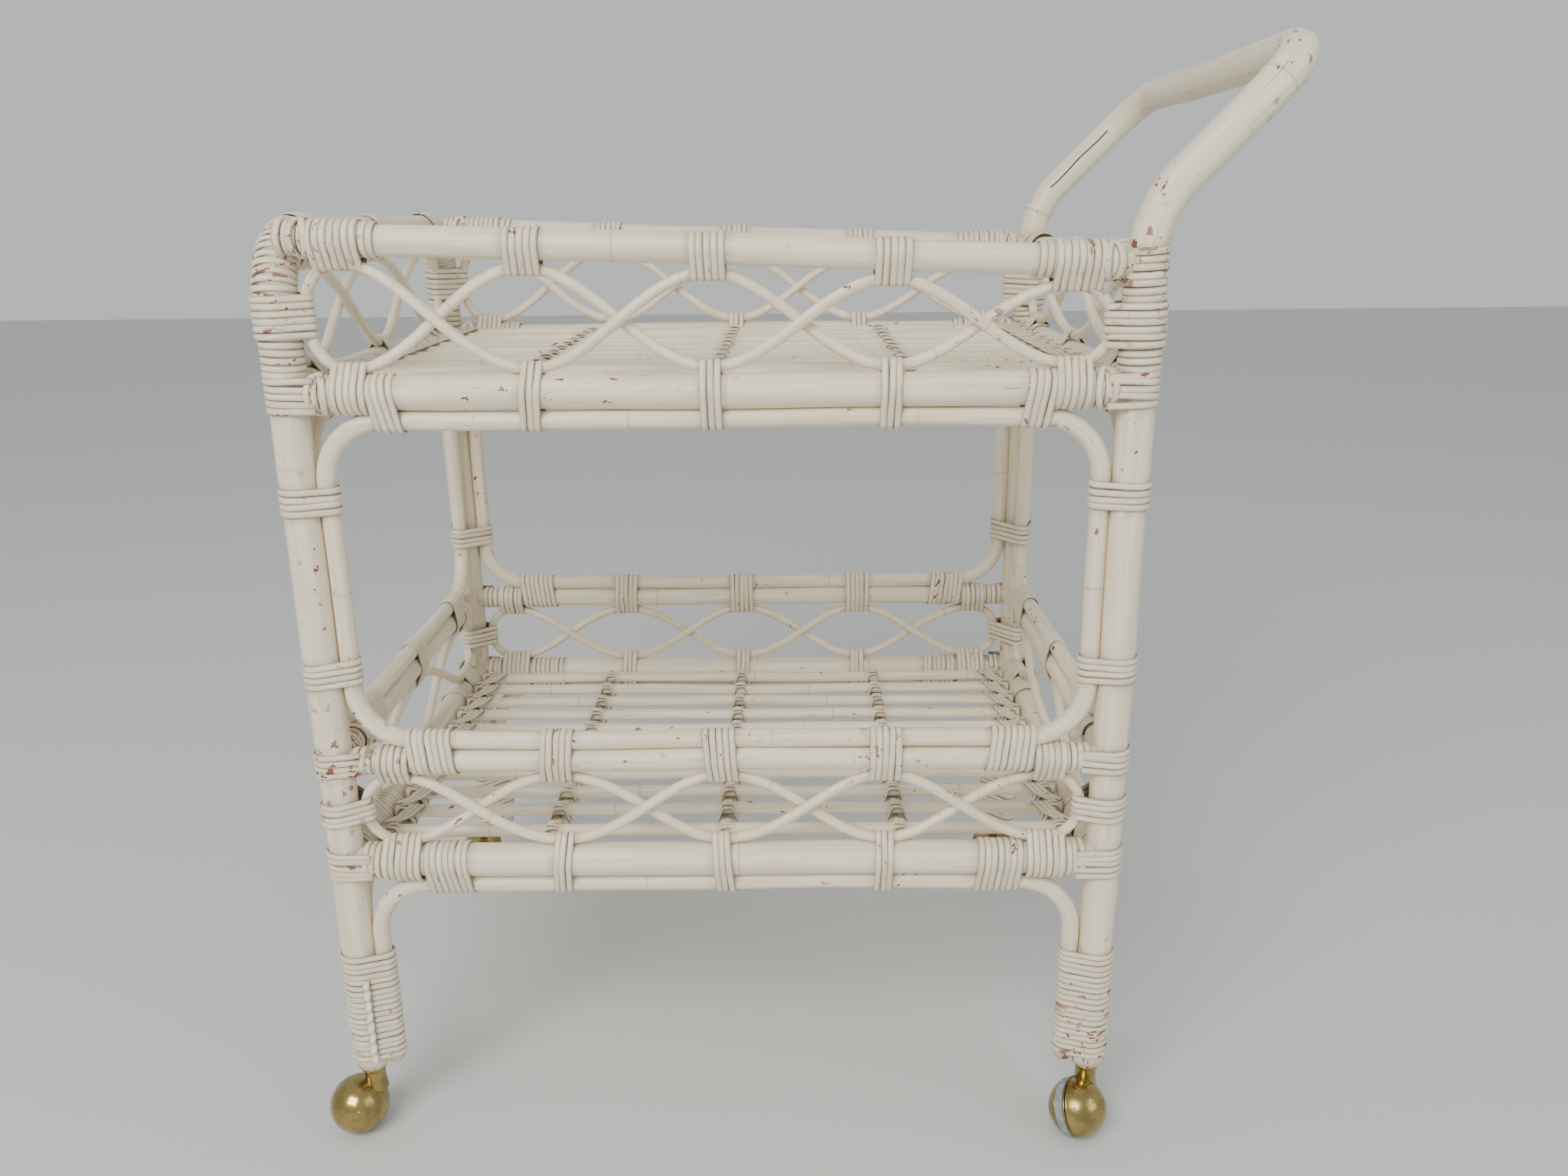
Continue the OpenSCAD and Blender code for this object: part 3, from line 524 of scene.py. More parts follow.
rod_r = 8 * MM / 2
beside = rod_r + 0.1 * MM
rod_spacing = 150 * MM
rods = {}
for seed, level in enumerate(("tray", "shelf")):
    low, high = [np.array(corner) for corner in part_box(level + "_rods")]
    rod_z = (low[2] + high[2]) / 2
    first, last = low[0] + rod_r + beside, high[0] - rod_r - beside
    pairs = [first, middle_x - rod_spacing, middle_x, middle_x + rod_spacing, last]
    rods[level] = (pairs, rod_z)
    paths = [rounded([(x + s * beside, low[1], rod_z), (x + s * beside, high[1], rod_z)], 0)
             for x in pairs for s in (-1, 1)]
    pole_piece(level + "_rods", 80 + seed, paths, rod_r, sides=12, knot_gap=0.3, wander=0.1 * MM)

# ---- Post wraps ----
# Split cane, half round and about 5.5 mm wide, is wound side by side round the posts above
# the tray and round the bends at the top left. Grime and painted shade darken the edges between the turns.

cane_paint = cream_paint("cane_paint", (0.86, 0.76, 0.60), (0.74, 0.625, 0.455), 0.645, 0.9)
cane_w = 5.5 * MM
cane_t = 1.75 * MM
pitch = 5.35 * MM
# Half-round section: across the strip, out from the pole, and how much grime and painted shade its edges
# get where turns meet
SECTION = np.array([(-0.5, 0.0, 1.0), (-0.47, 0.5, 0.7), (-0.27, 0.88, 0.08), (0.0, 1.0, 0.0),
                    (0.27, 0.88, 0.08), (0.47, 0.5, 0.7), (0.5, 0.0, 1.0)])
turn_gap = 0.15 * MM
canes = []


def strip(strands, path, out, closed=False, width=cane_w, thick=cane_t):
    """Adds a strip of cane along a path, with its flat side on the pole and out as outward."""
    chance = strands.random
    if closed:
        along = np.roll(path, -1, axis=0) - np.roll(path, 1, axis=0)
    else:
        along = np.gradient(path, axis=0)
    along /= np.linalg.norm(along, axis=1)[:, None] + 1e-12
    side = np.cross(along, out)
    side /= np.linalg.norm(side, axis=1)[:, None] + 1e-12
    width *= chance.uniform(0.95, 1.04)
    thick *= chance.uniform(0.9, 1.1)
    reach = np.concatenate([[0], np.cumsum(np.linalg.norm(np.diff(path, axis=0), axis=1))])
    points = (path[:, None] + side[:, None] * (SECTION[:, 0] * width)[None, :, None]
              + out[:, None] * (SECTION[:, 1] * thick)[None, :, None])
    offset = chance.uniform(0, 40)
    grain = np.stack([np.broadcast_to(reach[:, None] + offset, points.shape[:2]),
                      np.broadcast_to(SECTION[:, 0] * width + offset, points.shape[:2]),
                      np.broadcast_to(SECTION[:, 1] * thick + offset, points.shape[:2])], axis=-1)
    strands.grid(points, grain, SECTION[:, 2][None, :], 0.0, closed)


def outline(circles, angles):
    """Points and outward directions of a band pulled tight round circles (a, b, radius)."""
    out = np.stack([np.cos(angles), np.sin(angles)], axis=1)
    circles = np.array(circles, float)
    reach = out @ circles[:, :2].T + circles[:, 2][None, :]
    pick = np.argmax(reach, axis=1)
    return circles[pick, :2] + out * circles[pick, 2][:, None], out


def turns(strands, origin, across, up, circles, places, lift=0.0, lean=0.0, tilt=0.0, segments=36, **size):
    """Adds closed turns round circles drawn in the across-up plane, at places along the axis.
    lean and tilt are how far each turn travels along the axis, per unit across and up."""
    origin, across, up = [np.array(v, float) for v in (origin, across, up)]
    axis = np.cross(across, up)
    angles = 2 * math.pi * (np.arange(segments) + 0.5) / segments
    flat, out = outline([(a, b, r + turn_gap + lift) for a, b, r in circles], angles)
    out3 = out[:, :1] * across + out[:, 1:] * up
    from_middle = flat - (flat.min(axis=0) + flat.max(axis=0)) / 2
    chance = strands.random
    for place in places:
        tip = tilt + chance.uniform(-0.014, 0.014)
        roll = lean + chance.uniform(-0.018, 0.018)
        shift = place + chance.uniform(-0.25, 0.25) * MM
        travel = shift + from_middle[:, 0] * roll + from_middle[:, 1] * tip
        path = origin + flat[:, :1] * across + flat[:, 1:] * up + travel[:, None] * axis
        strip(strands, path, out3, True, **size)


def spread(start, end, step=pitch):
    """Places for turns that fill the length from start to end."""
    count = max(1, round(abs(end - start) / step))
    return [start + (end - start) * (i + 0.5) / count for i in range(count)]


def cane_piece(strands, node):
    """One CAD node's cane, as one piece named after it."""
    canes.append(strands.piece(node + "_cane", cane_paint, "painted_cane", node))


X, Y, Z = np.eye(3)
CORNERS = [(sx, sy) for sx in (-1, 1) for sy in (-1, 1)]


def post_at(sx, sy):
    """The axis of one post, at the floor."""
    return np.array([left_x if sx < 0 else right_x, sy * half_y, 0.0])


tray_rail_r = rails["tray_rail_front"][2]
above_tray = 12 * MM
above_right_rail = 10 * MM
bend_end = math.radians(84)
wraps = Strands(100)
for sx, sy in CORNERS:
    post = post_at(sx, sy)
    top = top_left_z - corner_bend_r if sx < 0 else top_right_z + above_right_rail
    turns(wraps, post, X, Y, [(0, 0, post_r)], spread(tray_z + above_tray, top), lean=0.05 * sx)
    if sx < 0:
        hub = post + (0, -sy * corner_bend_r, top_left_z - corner_bend_r)
        for angle in spread(0.02, bend_end, pitch / corner_bend_r * 0.93):
            outward = Y * sy * math.cos(angle) + Z * math.sin(angle)
            turns(wraps, hub + outward * corner_bend_r, X, outward, [(0, 0, post_r)], [0])

# Short turns that hold each rail to the post run round the outside of the post only, and
# tuck under the wraps on the two rails.
tuck = 24 * MM
over_wraps = 1.02
for sx, sy in CORNERS:
    post = post_at(sx, sy)
    for level, z, count in (("tray", tray_z, 5), ("gallery", gallery_z, 4), ("shelf", shelf_z, 5)):
        rail_r = rails[level + "_rail_front"][2]
        arc = np.radians(np.linspace(-85, -185, 26))
        flat = np.concatenate([[(tuck, -rail_r * 0.97), (0.5 * tuck, -(rail_r + post_r) / 2)],
                               post_r * np.stack([np.cos(arc), np.sin(arc)], axis=1),
                               [(-(rail_r + post_r) / 2, 0.5 * tuck), (-rail_r * 0.97, tuck)]])
        out = np.concatenate([[(0, -1), (-0.04, -1)], np.stack([np.cos(arc), np.sin(arc)], axis=1),
                              [(-1, -0.04), (-1, 0)]])
        flip = np.array([-sx, -sy])
        out3 = np.concatenate([out * flip, np.zeros((len(out), 1))], axis=1)
        for place in spread(z - count * pitch / 2, z + count * pitch / 2):
            slant = wraps.random.uniform(-0.05, 0.05)
            path = np.concatenate([flat * flip * over_wraps, np.zeros((len(flat), 1))], axis=1) + post
            path[:, 2] = place + slant * (flat[:, 0] - flat[:, 1])
            order = slice(None) if sx * sy < 0 else slice(None, None, -1)
            strip(wraps, path[order], out3[order])
cane_piece(wraps, "post_wraps")

# ---- Rail end wraps ----
# The same cane is wound round the ends of every rail. Next to the post two turns cross, so
# that the pull of one is held by the other.


def crossed_turns(strands, centre, along, radius, gap):
    """Two turns that lean opposite ways and cross on the outer face of a rail."""
    for lean in (0.42, -0.42):
        turns(strands, centre + along * gap, np.cross(along, Z), Z, [(0, 0, radius)], [0],
              lift=0.5 * MM, lean=lean)


ends = Strands(110)
wrap_reach = {"top": 64 * MM, "tray": 40 * MM, "gallery": 30 * MM, "shelf": 28 * MM}
for node, (start, end, radius) in rails.items():
    level, _, side = node.split("_")
    for tip, other in ((start, end), (end, start)):
        along = (other - tip) / np.linalg.norm(other - tip)
        across = np.cross(along, Z)
        across /= np.linalg.norm(across)
        up = np.cross(across, along)
        reach = wrap_reach[level] * (1.0 if side in ("front", "back") else 0.8)
        on_bend = level == "top" and tip[0] < middle_x and side != "right"
        first_turn = -6.5 * MM if on_bend else 2.2 * MM
        turns(ends, tip, across, -up, [(0, 0, radius)], spread(first_turn, reach))
        if level in ("tray", "top"):
            crossed_turns(ends, tip, along, radius + cane_t * 0.7, 11 * MM)
cane_piece(ends, "rail_end_wraps")

# ---- Pole ties ----
# Where a wave touches a rail, and where a loop runs beside one, three to seven turns of cane
# bind them. The ties near the posts are wider, and go over the wraps on the rails.

loop_tie_lift = 0.2 * MM
tie_clear = 8 * MM
ties = Strands(120)


def tie(side, x, circles, count, lift=0.0, tilt=0.0):
    """Turns round poles (height, radius) on one side, centred at x along it."""
    centre = on_side(side, np.array([x, 0.0, 0.0]))
    along = X if side in ("front", "back") else Y
    across = np.cross(Z, along)
    width = count * pitch * 0.98
    turns(ties, centre, across, Z, [(0, z, r) for z, r in circles],
          spread(-width / 2, width / 2), lift=lift, tilt=tilt)


for side in SIDES:
    long_side = side in ("front", "back")
    half_span = half_x if long_side else half_y
    top_start, top_end, top_r = rails.get("top_rail_" + side, (None, None, post_r))
    loop_run = half_span - loop_inset - brace_bend_r
    brace_run = half_span - brace_inset - brace_bend_r
    gallery_r = rails["gallery_rail_" + side][2]
    shelf_r = rails["shelf_rail_" + side][2]
    for level in ("upper", "lower"):
        crest, waves, trough_z, crest_z, fall, half = galleries[level, side]
        for i in range(waves + 1):
            x = -crest + 2 * crest * i / waves
            end_tie = i in (0, waves)
            over = cane_t * 0.85 if end_tie else 0.0
            slant = ties.random.uniform(-0.07, 0.07)
            crest_here = crest_z - fall * (x + half) / (2 * half)
            loop_near = abs(x) < loop_run - tie_clear
            brace_near = abs(x) < brace_run - tie_clear
            if level == "upper":
                if top_start is None:
                    rail_here = top_left_z
                else:
                    rail_here = np.interp(x, (-half_span, half_span), (top_start[2], top_end[2]))
                tie(side, x, [(rail_here, top_r + over), (crest_here, wave_r)],
                    (7 if end_tie else 5) if long_side else 5, tilt=slant * 0.5)
                below = [(loop_high_z, loop_r)] if loop_near else []
                tie(side, x, [(trough_z, wave_r), (tray_z, tray_rail_r + over)] + below,
                    5 if end_tie else 3, tilt=slant)
            else:
                above = [(loop_low_z, loop_r)] if loop_near else []
                tie(side, x, above + [(gallery_z, gallery_r + over), (crest_here, wave_r)],
                    5, tilt=slant)
                below = [(brace_high_z, brace_r)] if brace_near else []
                tie(side, x, [(trough_z, wave_r), (shelf_z, shelf_r + over)] + below,
                    6 if end_tie else 3, tilt=slant)
    for end in (-1, 1):
        slope = 0.13 * end
        for x, rail, bent_pole, count, slant in (
                (loop_run - 4 * MM, (tray_z, tray_rail_r), (loop_high_z, loop_r), 4, slope),
                (loop_run - 12 * MM, (gallery_z, gallery_r), (loop_low_z, loop_r), 7, slope),
                (brace_run - 18 * MM, (shelf_z, shelf_r), (brace_high_z, brace_r), 7, slope / 2)):
            tie(side, end * x, [rail, bent_pole], count, loop_tie_lift, slant)

# Ties round a post and the two bent poles beside it, and round a post and the two wave ends.
wave_inset = half_x - galleries["upper", "front"][5]
past_bend = 13 * MM


def corner_turns(strands, sx, sy, places, post_size, inset, near_size, **slope):
    """Turns round a post and the two thinner poles inside its corner."""
    if sx * sy < 0:
        places = [-p for p in places]
    turns(strands, post_at(sx, sy), X * -sx, Y * -sy,
          [(0, 0, post_size), (inset, 0, near_size), (0, inset, near_size)], places, **slope)


def post_tie(sx, sy, z, count, *sizes, lean):
    """One tie on a post, centred at a height."""
    corner_turns(ties, sx, sy, spread(z - count * pitch / 2, z + count * pitch / 2), *sizes, lean=lean)


for sx, sy in CORNERS:
    for z in (loop_low_z + brace_bend_r + past_bend, loop_high_z - brace_bend_r - past_bend):
        post_tie(sx, sy, z, 4, post_r, loop_inset, loop_r, lean=ties.random.uniform(-0.1, 0.1))
    end_of_top = top_left_z if sx < 0 else top_right_z
    upper_z = (galleries["upper", "front"][2] + end_of_top - 16 * MM) / 2
    post_tie(sx, sy, upper_z, 6, post_r + cane_t, wave_inset, wave_r + 1 * MM, lean=0.02)
    lower_z = (galleries["lower", "front"][2] + galleries["lower", "front"][3]) / 2
    post_tie(sx, sy, lower_z, 4, post_r, wave_inset, wave_r + 1 * MM, lean=0.06)
cane_piece(ties, "pole_ties")

# ---- Foot bindings ----
# Each foot is a post and the ends of two leg braces, bound together over about 100 mm. On
# the front left foot a strand is woven down through the turns.

feet = Strands(130)
foot_low = leg_z + 10 * MM
foot_top = leg_z + 114 * MM
for sx, sy in CORNERS:
    corner_turns(feet, sx, sy, spread(foot_low, foot_top), post_r, brace_inset, brace_r)

weave_low, weave_top = foot_low + 2 * MM, foot_low + 82 * MM
weave_z = np.linspace(weave_low, weave_top, 120)
over_under = (0.5 + 0.5 * np.sin(math.pi * weave_z / pitch)) * 2.9 * MM
weave_x = np.full_like(weave_z, left_x + 8 * MM)
weave_path = np.stack([weave_x, -half_y - post_r * 0.97 - over_under, weave_z], axis=1)
strip(feet, weave_path, np.tile(-Y, (len(weave_z), 1)), width=6.5 * MM)
cane_piece(feet, "foot_bindings")

# ---- Slat bindings ----
# At each pair of rods, a few turns of cane go over every slat and under both rods. A flat
# strip runs along the rods between them. At the two ends the turns are wider and closer.

hump_half = 2 * MM
hump_r = 2.5 * MM
bindings = Strands(140)
for level in ("tray", "shelf"):
    pairs, rod_z = rods[level]
    slat_z = slats[level][0][0][2]
    ys = [start[1] for start, _ in slats[level]]
    for number, x in enumerate(pairs):
        at_end = number in (0, len(pairs) - 1)
        count, step = (5, 2.9) if at_end else (4, 2.7)
        for y in ys:
            for k in range(count):
                offset = (k - (count - 1) / 2) * step * MM
                rise = slat_z - rod_z + math.sqrt(max(0, slat_r ** 2 - offset ** 2))
                lean = bindings.random.uniform(-0.12, 0.12) + 0.16 * (1 if k % 2 else -1)
                hump = [(-beside, 0, rod_r), (beside, 0, rod_r), (-hump_half, rise - hump_r, hump_r),
                        (hump_half, rise - hump_r, hump_r)]
                turns(bindings, (x, y + offset * 1.6, rod_z), X, Z, hump, [0], lean=lean,
                      width=4.4 * MM, thick=1.3 * MM, segments=28)
        for near, far in zip(ys[:-1], ys[1:]):
            line = np.linspace(near + 5 * MM, far - 5 * MM, 8)
            path = np.stack([np.full(8, x), line, np.full(8, rod_z + rod_r * 0.9)], axis=1)
            strip(bindings, path, np.tile(Z, (8, 1)), width=8 * MM, thick=1.2 * MM)
        if at_end:
            # Herringbone: strips that run from slat to slat, over the rods and the slat ends.
            inward = 1 if number == 0 else -1
            for near, far in zip(ys[:-1], ys[1:]):
                for lane in range(3):
                    part = np.linspace(0, 1, 12)
                    path_x = x - inward * (8 - 5 * lane) * MM + inward * part * 15 * MM
                    rise = slat_z + slat_r * (0.55 + 0.5 * abs(2 * part - 1)) + 0.6 * MM
                    path = np.stack([path_x, near + (far - near) * (part * 0.9 + 0.05), rise], axis=1)
                    strip(bindings, path, np.tile(Z, (12, 1)), width=5.2 * MM, thick=1.1 * MM)
cane_piece(bindings, "slat_bindings")

# ---- Grime and painted shade ----
# Dust and old polish, with painted shade, darken the poles where cane and poles touch. Each point
# of a pole is darkened by how close the nearest cane is.

cane_points = np.concatenate([np.array([v.co for v in made.data.vertices]) for made in canes])
near_cane = kdtree.KDTree(len(cane_points))
for i, point in enumerate(cane_points):
    near_cane.insert(point, i)
near_cane.balance()
grime_and_shade_reach = 4.5 * MM
most_grime_and_shade = 0.55
for made in poles:
    values = []
    for vertex in made.data.vertices:
        _, _, distance = near_cane.find(vertex.co)
        values.append(max(0.0, 1 - distance / grime_and_shade_reach) * most_grime_and_shade)
    made.data.attributes["groove"].data.foreach_set("value", values)

# ---- Wear ----
# Knocks and rubbing have taken paint off the corners, the ends of the lower rails, two of
# the feet and the outside of the grip. Old checks have opened in the handle's arms, drawn as near-black
# strips of painted shade inside the cracks.

# Each worn place: where it is, how far it reaches and how deep it goes
knocks = [((left_x, -half_y, top_left_z), 75 * MM, 1.0),
          ((left_x, -half_y, gallery_z), 80 * MM, 0.9),
          ((right_x, -half_y, top_right_z), 75 * MM, 0.8),
          ((right_x, -half_y, leg_z + 20 * MM), 70 * MM, 1.0),
          ((left_x, -half_y, leg_z), 45 * MM, 0.8),
          ((middle_x + 133 * MM, -half_y, gallery_z), 42 * MM, 1.0),
          ((middle_x + 200 * MM, -half_y, (tray_z + top_right_z) / 2), 30 * MM, 0.9),
          ((grip_x, -half_y, grip_z), 90 * MM, 0.8),
          ((middle_x - 133 * MM, -half_y, gallery_z), 30 * MM, 0.6),
          ((left_x, half_y, top_left_z), 70 * MM, 0.8),
          ((right_x, half_y, shelf_z), 90 * MM, 0.7),
          ((left_x, half_y, shelf_z), 70 * MM, 0.7),
          ((right_x, half_y, leg_z + 20 * MM), 50 * MM, 0.7)]
for made in poles + canes:
    at = np.array([v.co for v in made.data.vertices])
    rubbed = np.zeros(len(at))
    for place, reach, depth in knocks:
        gone = np.linalg.norm(at - np.array(place), axis=1) / reach
        rubbed = np.maximum(rubbed, depth * np.clip(1.25 - gone, 0, 1))
    made.data.attributes.new("wear", "FLOAT", "POINT").data.foreach_set("value", rubbed)

# The checks are real cracks; their near-black colour is painted shade for the inside of each crack.
check_shade_finish, check_shader, wire = new_finish("open_check")
place = wire.node("TexCoord", out="Object")
shadow = wire.noise(place, (300, 300, 300), 3)
wire.blend(shadow, (0.012, 0.010, 0.009), (0.05, 0.035, 0.02)).to(check_shader, "Base Color")
check_shader.inputs["Roughness"].default_value = 0.95
checks = Strands(150)
arm_along = np.array([math.sin(arm_lean), 0.0, math.cos(arm_lean)])


def open_check(start, along, outward, length, width):
    """A long thin crack on the surface of a pole, wandering a little, as a near-black strip of painted
    shade.
    """
    part = np.linspace(0, 1, 40)
    side = np.cross(along, outward)
    line = start + part[:, None] * length * along + np.sin(part * 9)[:, None] * 0.5 * MM * side
    strip(checks, line, np.tile(outward, (40, 1)), width=width, thick=0.12 * MM)


inward = np.cross(Y, arm_along)
# A long check in the far arm and a short one in the near arm
for y, up_arm, outward, length, width in ((half_y, 26, -Y * 0.93 - inward * 0.36, 78, 1.1),
                                          (-half_y, 6, -Y * 0.85 + inward * 0.52, 14, 0.8)):
    outward /= np.linalg.norm(outward)
    start = np.array([right_x, y, arm_corner_z]) + arm_along * up_arm * MM
    open_check(start + outward * (post_r - 0.02 * MM), arm_along, outward, length * MM, width * MM)
checks.piece("handle_checks", check_shade_finish, "painted_rattan")

# ---- Caster sockets ----
# A zinc-plated steel grip socket is driven up each foot, and holds the stem of a caster.
# Only its flange shows.


def metal(name, base, deep, spot, rough):
    """Old metal: cloudy tarnish, fine scratches and dark spots, in a tint of its own."""
    made, shader, wire = new_finish(name)
    place = wire.node("TexCoord", out="Object")
    cloud = wire.noise(place, (55, 55, 55), 4, 0.6)
    spots = wire.noise(place, (420, 420, 420), 2, 0.5, 5.0).ramp(0.66, 0.74)
    rubs = wire.noise(place, (900, 120, 1500), 3, 0.6, 9.0)
    colour = wire.blend(cloud.ramp(0.35, 0.7), base, deep)
    colour = wire.blend(spots * 0.75, colour, spot)
    colour.to(shader, "Base Color")
    shader.inputs["Metallic"].default_value = 1.0
    (rough + 0.2 * cloud.ramp(0.4, 0.75) + 0.1 * rubs + 0.25 * spots).to(shader, "Roughness")
    wire.node("Bump", {}, {"Strength": 0.25, "Distance": 0.0002,
                           "Height": cloud * 0.6 + rubs * 0.4}).to(shader, "Normal")
    return made


zinc = metal("zinc_plate", (0.52, 0.51, 0.48), (0.33, 0.31, 0.27), (0.13, 0.09, 0.06), 0.28)


def lathe(name, profile, matrix, material, slot, body, *nodes, sides=56):
    """Turns a closed outline (radius, height) round the matrix's Z axis."""
    profile = np.array(profile, float)
    angle = 2 * math.pi * np.arange(sides) / sides
    ring = np.stack([np.cos(angle), np.sin(angle)], axis=1)
    points = np.concatenate([profile[:, None, :1] * ring[None, :, :],
                             np.broadcast_to(profile[:, None, 1:], (len(profile), sides, 1))], axis=2)
    at = np.arange(len(profile) * sides).reshape(len(profile), sides)
    after = np.roll(at, -1, axis=0)
    faces = np.stack([at, np.roll(at, -1, axis=1), np.roll(after, -1, axis=1), after],
                     axis=-1).reshape(-1, 4).tolist()
    mesh = bpy.data.meshes.new(name)
    mesh.from_pydata([tuple(matrix @ Vector(p)) for p in points.reshape(-1, 3)], [], faces)
    return add_piece(name, mesh, material, body, nodes)


def soften(corners, radius, steps=4):
    """Closed outline with every corner rounded, for turned metal and moulded rubber."""
    corners = [np.array(c, float) for c in corners]
    out = []
    for i, corner in enumerate(corners):
        back = corners[i - 1] - corner
        ahead = corners[(i + 1) % len(corners)] - corner
        near = min(radius, np.linalg.norm(back) * 0.45, np.linalg.norm(ahead) * 0.45)
        start = corner + back / np.linalg.norm(back) * near
        end = corner + ahead / np.linalg.norm(ahead) * near
        for part in np.linspace(0, 1, steps):
            out.append((1 - part) ** 2 * start + 2 * part * (1 - part) * corner + part ** 2 * end)
    return out


def in_mm(*points):
    """Outline points given in millimetres, as an array in metres."""
    return np.array(points, float) * MM


socket_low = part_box("caster_sockets")[0][2]
bore_r, tube_r, flange_r, flange_t, tube_h = 3.6, 6, 11, 1.6, 30
socket_outline = in_mm((bore_r, 0), (bore_r, tube_h), (tube_r, tube_h), (tube_r, flange_t),
                       (flange_r, flange_t), (flange_r, 0))
for i, (sx, sy) in enumerate(CORNERS):
    x, y, _ = post_at(sx, sy)
    lathe(f"socket_{i + 1}", soften(socket_outline, 0.5 * MM),
          Matrix.Translation((x, y, socket_low)), zinc, "steel", "frame", "caster_sockets", sides=40)

# ---- Casters ----
# 2 in ball casters: a brass hood with a neck, a domed brass wheel on a slanted axle, and a
# grey rubber tread. Polish has gone dull and olive, with dark spots near the rim.

brass = metal("old_brass", (0.46, 0.34, 0.125), (0.26, 0.20, 0.08), (0.06, 0.042, 0.018), 0.13)
rubber, rubber_shader, wire = new_finish("grey_rubber")
place = wire.node("TexCoord", out="Object")
dust = wire.noise(place, (180, 180, 180), 4, 0.6)
scuffs = wire.noise(place, (700, 700, 700), 3, 0.6, 4.0)
wire.blend(dust.ramp(0.35, 0.7), (0.21, 0.25, 0.28), (0.35, 0.37, 0.37)).to(rubber_shader, "Base Color")
(0.5 + 0.25 * scuffs).to(rubber_shader, "Roughness")
wire.node("Bump", {}, {"Strength": 0.3, "Distance": 0.0003, "Height": scuffs}).to(rubber_shader, "Normal")

ball_r = 25.4 * MM
brass_r = 25 * MM
shell_t = 2.0 * MM
edge = 1.2 * MM
trail = 16 * MM
axle_lean = math.radians(22)
# The wheel is flat on its inner face, and the tread sits in a groove between these depths
tread_near, tread_far = 2.5 * MM, 10.3 * MM
tread_floor_r = 21.3 * MM


def ball_arc(radius, start, end, count, below=False):
    """Outline points (radius, height) on a ball, between two angles from its middle."""
    sign = -1 if below else 1
    return [(radius * math.cos(a), sign * radius * math.sin(a)) for a in np.linspace(start, end, count)]


def hood(corner, on_axle):
    """The fixed half of the ball: a thin brass shell with a rolled lip."""
    inner_r = brass_r - shell_t
    near_pole = math.pi / 2 - 0.001
    outer = ball_arc(brass_r, math.asin(edge / brass_r), near_pole, 22)
    inner = ball_arc(inner_r, near_pole, math.asin(edge / inner_r), 18)
    lip = [(inner_r + 0.2 * MM, edge - 0.5 * MM), (brass_r - 0.5 * MM, edge - 0.8 * MM),
           (brass_r + 0.15 * MM, edge - 0.4 * MM)]
    lathe(f"hood_{corner}", outer + inner + lip, on_axle, brass, "brass", "swivel_" + corner,
          f"caster_hood_{corner}", sides=72)


def neck(corner, at_stem, on_axle, top):
    """The brass collar on top of the hood, dressed down to the round of the ball."""
    drops = np.linspace(4.5, 24, 30)
    swell = 8.9 + 1.6 * np.clip((drops - 10) / 14, 0, 1) ** 2
    from_top = [(3.4, 0), (10.2, 0), (10.8, 0.5), (10.8, 2.6), (9.6, 3.6), *zip(swell, drops),
                (8, 24), (6, 24), (4, 24)]
    profile = [(radius * MM, top - drop * MM) for radius, drop in from_top]
    made = lathe(f"neck_{corner}", profile, at_stem, brass, "brass", "swivel_" + corner, sides=48)
    centre = on_axle.translation
    axle = on_axle.to_3x3() @ Vector((0, 0, 1))
    for vertex in made.data.vertices:
        away = vertex.co - centre
        side = min(1.0, max(0.0, (away.dot(axle) - edge) / (1 * MM)))
        limit = (ball_r + 0.9 * MM) * (1 - side) + (brass_r - 1 * MM) * side
        if away.length < limit:
            vertex.co = centre + away.normalized() * limit


def stem(corner, at_stem, hood_top):
    """The steel stem that the hood turns about."""
    foot, tip = hood_top - 12 * MM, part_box(f"caster_pins_{corner}")[1][2]
    axis_r = 0.02 * MM
    profile = [(axis_r, foot), (3.3 * MM, foot), (3.3 * MM, tip - 1 * MM), (2.4 * MM, tip), (axis_r, tip)]
    lathe(f"stem_{corner}", soften(profile, 0.4 * MM), at_stem, zinc, "steel", "swivel_" + corner,
          f"caster_pins_{corner}", sides=32)


def wheel(corner, on_axle):
    """The rolling half of the ball: a brass dome with a groove for the tread, and the tread."""
    rim = in_mm((0.05, -0.6), (24.2, -0.6), (24.6, -1.0), (24.6, -2.0), (24.2, -2.35), (21.2, -2.5),
                (21.2, -10.2), (22.3, -10.5))
    cap = ball_arc(brass_r, math.asin(10.6 * MM / brass_r), math.pi / 2 - 0.12, 20, below=True)
    hub_end = [(3.6 * MM, -brass_r * 0.985), (3.3 * MM, -brass_r * 0.965), (0.05 * MM, -brass_r * 0.962)]
    lathe(f"wheel_dome_{corner}", [*rim, *cap, *hub_end], on_axle, brass, "brass", "wheel_" + corner,
          f"caster_wheel_{corner}", sides=72)
    floor_line = [(tread_floor_r, -tread_near), (tread_floor_r, -tread_far)]
    crown = ball_arc(ball_r, math.asin(tread_far / ball_r), math.asin(tread_near / ball_r), 12, below=True)
    lathe(f"tread_ring_{corner}", soften(floor_line + crown, 0.5 * MM, 3), on_axle, rubber, "tread_rubber",
          "wheel_" + corner, f"caster_tread_{corner}", sides=72)


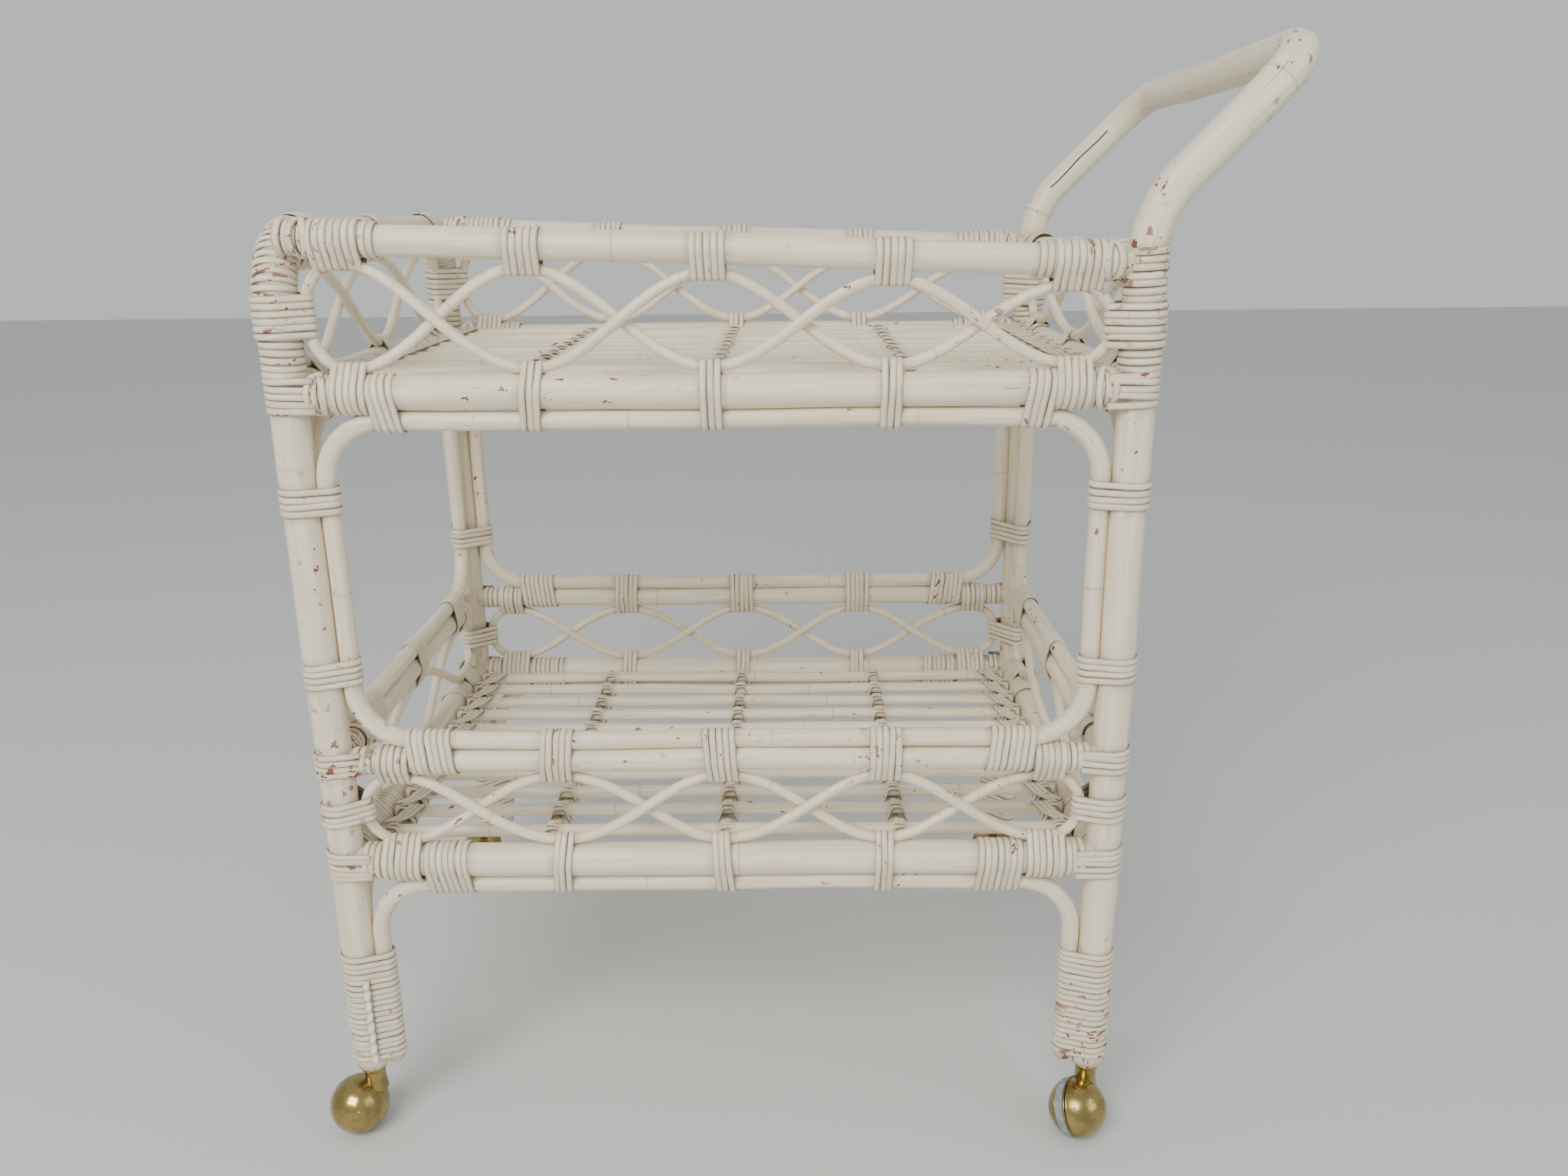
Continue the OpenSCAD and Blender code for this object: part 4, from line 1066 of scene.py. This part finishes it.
# The way each caster happens to point, in degrees about its stem
for (sx, sy), corner, heading in zip(CORNERS, ("front_left", "back_left", "front_right", "back_right"),
                                     (18, -10, 58, -50)):
    x, y, _ = post_at(sx, sy)
    at_stem = Matrix.Translation((x, y, 0)) @ Matrix.Rotation(math.radians(heading), 4, "Z")
    on_axle = (at_stem @ Matrix.Translation((-trail, 0, ball_r))
               @ Matrix.Rotation(math.pi / 2 - axle_lean, 4, "X"))
    hood_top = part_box(f"caster_hood_{corner}")[1][2]
    hood(corner, on_axle)
    neck(corner, at_stem, on_axle, hood_top)
    stem(corner, at_stem, hood_top)
    wheel(corner, on_axle)

# ---- Studio ----
# A plain pale floor and soft light from the front left. The camera is just above the top
# rails, near the front, and looks down at the cart.

floor_mesh = bpy.data.meshes.new("floor")
floor_mesh.from_pydata([(-9, -7, 0), (9, -7, 0), (9, 9, 0), (-9, 9, 0)], [], [(0, 1, 2, 3)])
floor = bpy.data.objects.new("floor", floor_mesh)
bpy.context.scene.collection.objects.link(floor)
floor_finish, floor_shader, wire = new_finish("pale_floor")
floor_shader.inputs["Base Color"].default_value = (0.62, 0.63, 0.63, 1)
floor_shader.inputs["Roughness"].default_value = 0.7
floor.data.materials.append(floor_finish)

world = bpy.data.worlds.new("soft_room")
world.use_nodes = True
world.node_tree.nodes["Background"].inputs["Color"].default_value = (0.86, 0.90, 0.88, 1)
world.node_tree.nodes["Background"].inputs["Strength"].default_value = 0.72
bpy.context.scene.world = world


def soft_light(name, place, target, size, power, colour):
    """A rectangular lamp that faces a point on the cart."""
    lamp = bpy.data.lights.new(name, "AREA")
    lamp.shape = "RECTANGLE"
    lamp.size, lamp.size_y = size
    lamp.energy = power
    lamp.color = colour
    made = bpy.data.objects.new(name, lamp)
    made.location = place
    made.rotation_euler = (Vector(target) - Vector(place)).to_track_quat("-Z", "Y").to_euler()
    bpy.context.scene.collection.objects.link(made)


soft_light("key_light", (-1.1, -2.6, 2.5), (0, 0, 0.45), (2.0, 1.6), 105, (1.0, 0.975, 0.94))
soft_light("fill_light", (2.4, -1.6, 1.6), (0, 0, 0.4), (1.8, 1.8), 16, (0.95, 1.0, 0.98))

yaw, pitch_down, roll = math.radians(-0.48), math.radians(17.15), math.radians(-0.56)
forward = Vector((math.sin(yaw) * math.cos(pitch_down), math.cos(yaw) * math.cos(pitch_down),
                  -math.sin(pitch_down)))
level_right = Vector((math.cos(yaw), -math.sin(yaw), 0))
level_up = level_right.cross(forward)
right = math.cos(roll) * level_right + math.sin(roll) * level_up
up = -math.sin(roll) * level_right + math.cos(roll) * level_up
camera_data = bpy.data.cameras.new("camera")
camera_data.lens = 27.86
camera_data.sensor_width = 36
camera = bpy.data.objects.new("camera", camera_data)
camera_place = Vector((middle_x + 0.05999, -1.122, 0.780))
camera_turn = Matrix((right, up, -forward)).transposed().to_4x4()
camera.matrix_world = Matrix.Translation(camera_place) @ camera_turn
bpy.context.scene.collection.objects.link(camera)
bpy.context.scene.camera = camera
